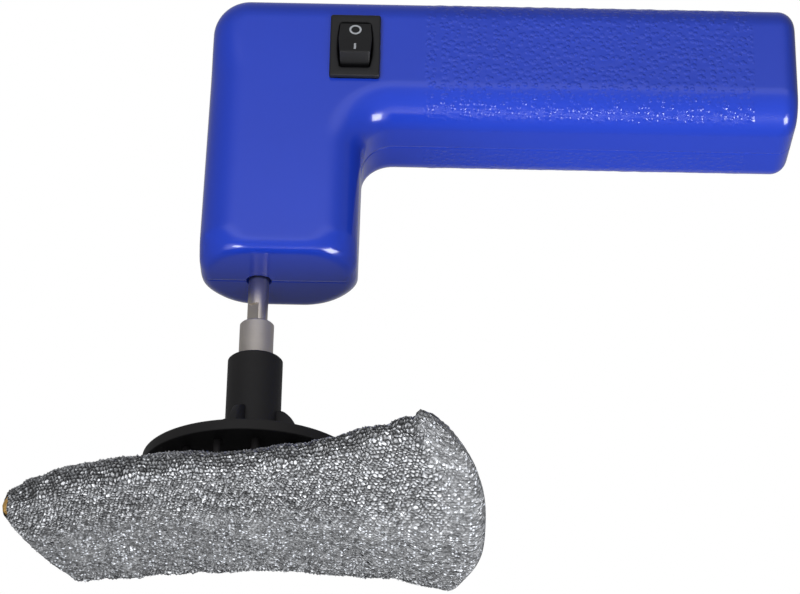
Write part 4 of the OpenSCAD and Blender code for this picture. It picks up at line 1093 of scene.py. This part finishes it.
# %% Foam core
FOAM_IN, FOAM_RINGS, FOAM_AROUND, HALF_WIDTH = 3.4, 80, 72, 38.5
FOAM_FROM, FOAM_TO, BARE_IN, BARE_OUT, BARE_T, BARE_S = 0.02, 0.98, 0.45, 0.018, 0.06, (-0.95, -0.6)
pad_foam = finish("pad_foam", (0.34, 0.19, 0.045), (0.50, 0.30, 0.09), 0.85, 0.1, 1800.0, bump=0.6,
                  depth=0.0003)
t, s, up = pad_grid(FOAM_RINGS, FOAM_AROUND, FOAM_IN)
bared = (1 - ease(0.0, BARE_T, t)) * (1 - ease(*BARE_S, s))
depth = mix(FOAM_IN, BARE_IN, bared)
foam = pad_point(mix(FOAM_FROM, FOAM_TO, t) - BARE_OUT * bared, s * (1 - depth / HALF_WIDTH), up, depth)
sides, ends = grid_faces(FOAM_RINGS, FOAM_AROUND)
foam_core = new_piece("foam_core", foam.reshape(-1, 3), sides.tolist() + ends, pad_foam)
stand_for(foam_core, "spindle", "pad_foam", "pad_core")


# %% [markdown]
# The CAD pieces that stay keep their shape and get their own finishes: plated and
# ground steel, sintered gears, brass, copper, nylon, the wrapped cells and the leads.

# %% Finishes of the kept pieces
def metal(name, low, high, rough, lines=0.0):
    bump, depth = (0.2, 0.00002) if lines else (0.1, 0.00005)
    return finish(name, low, high, rough, lines=lines, bump=bump, depth=depth, metallic=1.0)


KEPT = {
    metal("ground_steel", (0.52, 0.47, 0.42), (0.66, 0.61, 0.56), 0.3, 3000.0):
        "output_shaft rotor_shaft gear_pins",
    metal("zinc_steel", (0.50, 0.50, 0.51), (0.64, 0.64, 0.65), 0.35):
        "shell_screws gearbox_face_plate gearbox_housing gearbox_rear_plate gearbox_screws motor_can "
        "motor_screws",
    metal("sintered_steel", (0.30, 0.30, 0.31), (0.40, 0.40, 0.41), 0.5): "first_gear second_gear output_gear",
    metal("lamination_steel", (0.22, 0.22, 0.24), (0.32, 0.32, 0.34), 0.45, 2500.0): "armature_core",
    metal("brass_strip", (0.66, 0.47, 0.18), (0.76, 0.57, 0.26), 0.35):
        "switch_terminals motor_terminals motor_pinion",
    metal("bronze", (0.45, 0.28, 0.13), (0.58, 0.37, 0.18), 0.45): "output_bush motor_bushes",
    metal("copper", (0.58, 0.22, 0.09), (0.70, 0.30, 0.13), 0.3): "armature_windings commutator",
    metal("nickel_strip", (0.58, 0.57, 0.54), (0.70, 0.69, 0.66), 0.3): "cell_straps jack_pin",
    finish("ferrite", (0.035, 0.035, 0.04), (0.06, 0.06, 0.065), 0.6): "motor_magnets",
    finish("carbon", (0.012, 0.012, 0.012), (0.025, 0.025, 0.025), 0.6): "motor_brushes",
    finish("cap_nylon", (0.012, 0.012, 0.013), (0.022, 0.022, 0.023), 0.5): "motor_end_cap charge_jack",
    finish("cell_wrap", (0.02, 0.16, 0.07), (0.03, 0.21, 0.10), 0.3): "cell_1 cell_2",
    finish("board_green", (0.01, 0.09, 0.035), (0.02, 0.13, 0.05), 0.4): "charge_board",
    finish("chip_black", (0.012, 0.012, 0.013), (0.02, 0.02, 0.02), 0.5): "board_chips",
    finish("lead_black", (0.010, 0.010, 0.010), (0.018, 0.018, 0.018), 0.45):
        "lead_cell_motor lead_switch_motor",
    finish("lead_red", (0.40, 0.015, 0.012), (0.50, 0.025, 0.02), 0.45): "lead_board lead_cell_switch",
}
for material, names in KEPT.items():
    for name in names.split():
        nodes[name].data.materials.clear()
        nodes[name].data.materials.append(material)
print("kept pieces finished:", sum(len(names.split()) for names in KEPT.values()))
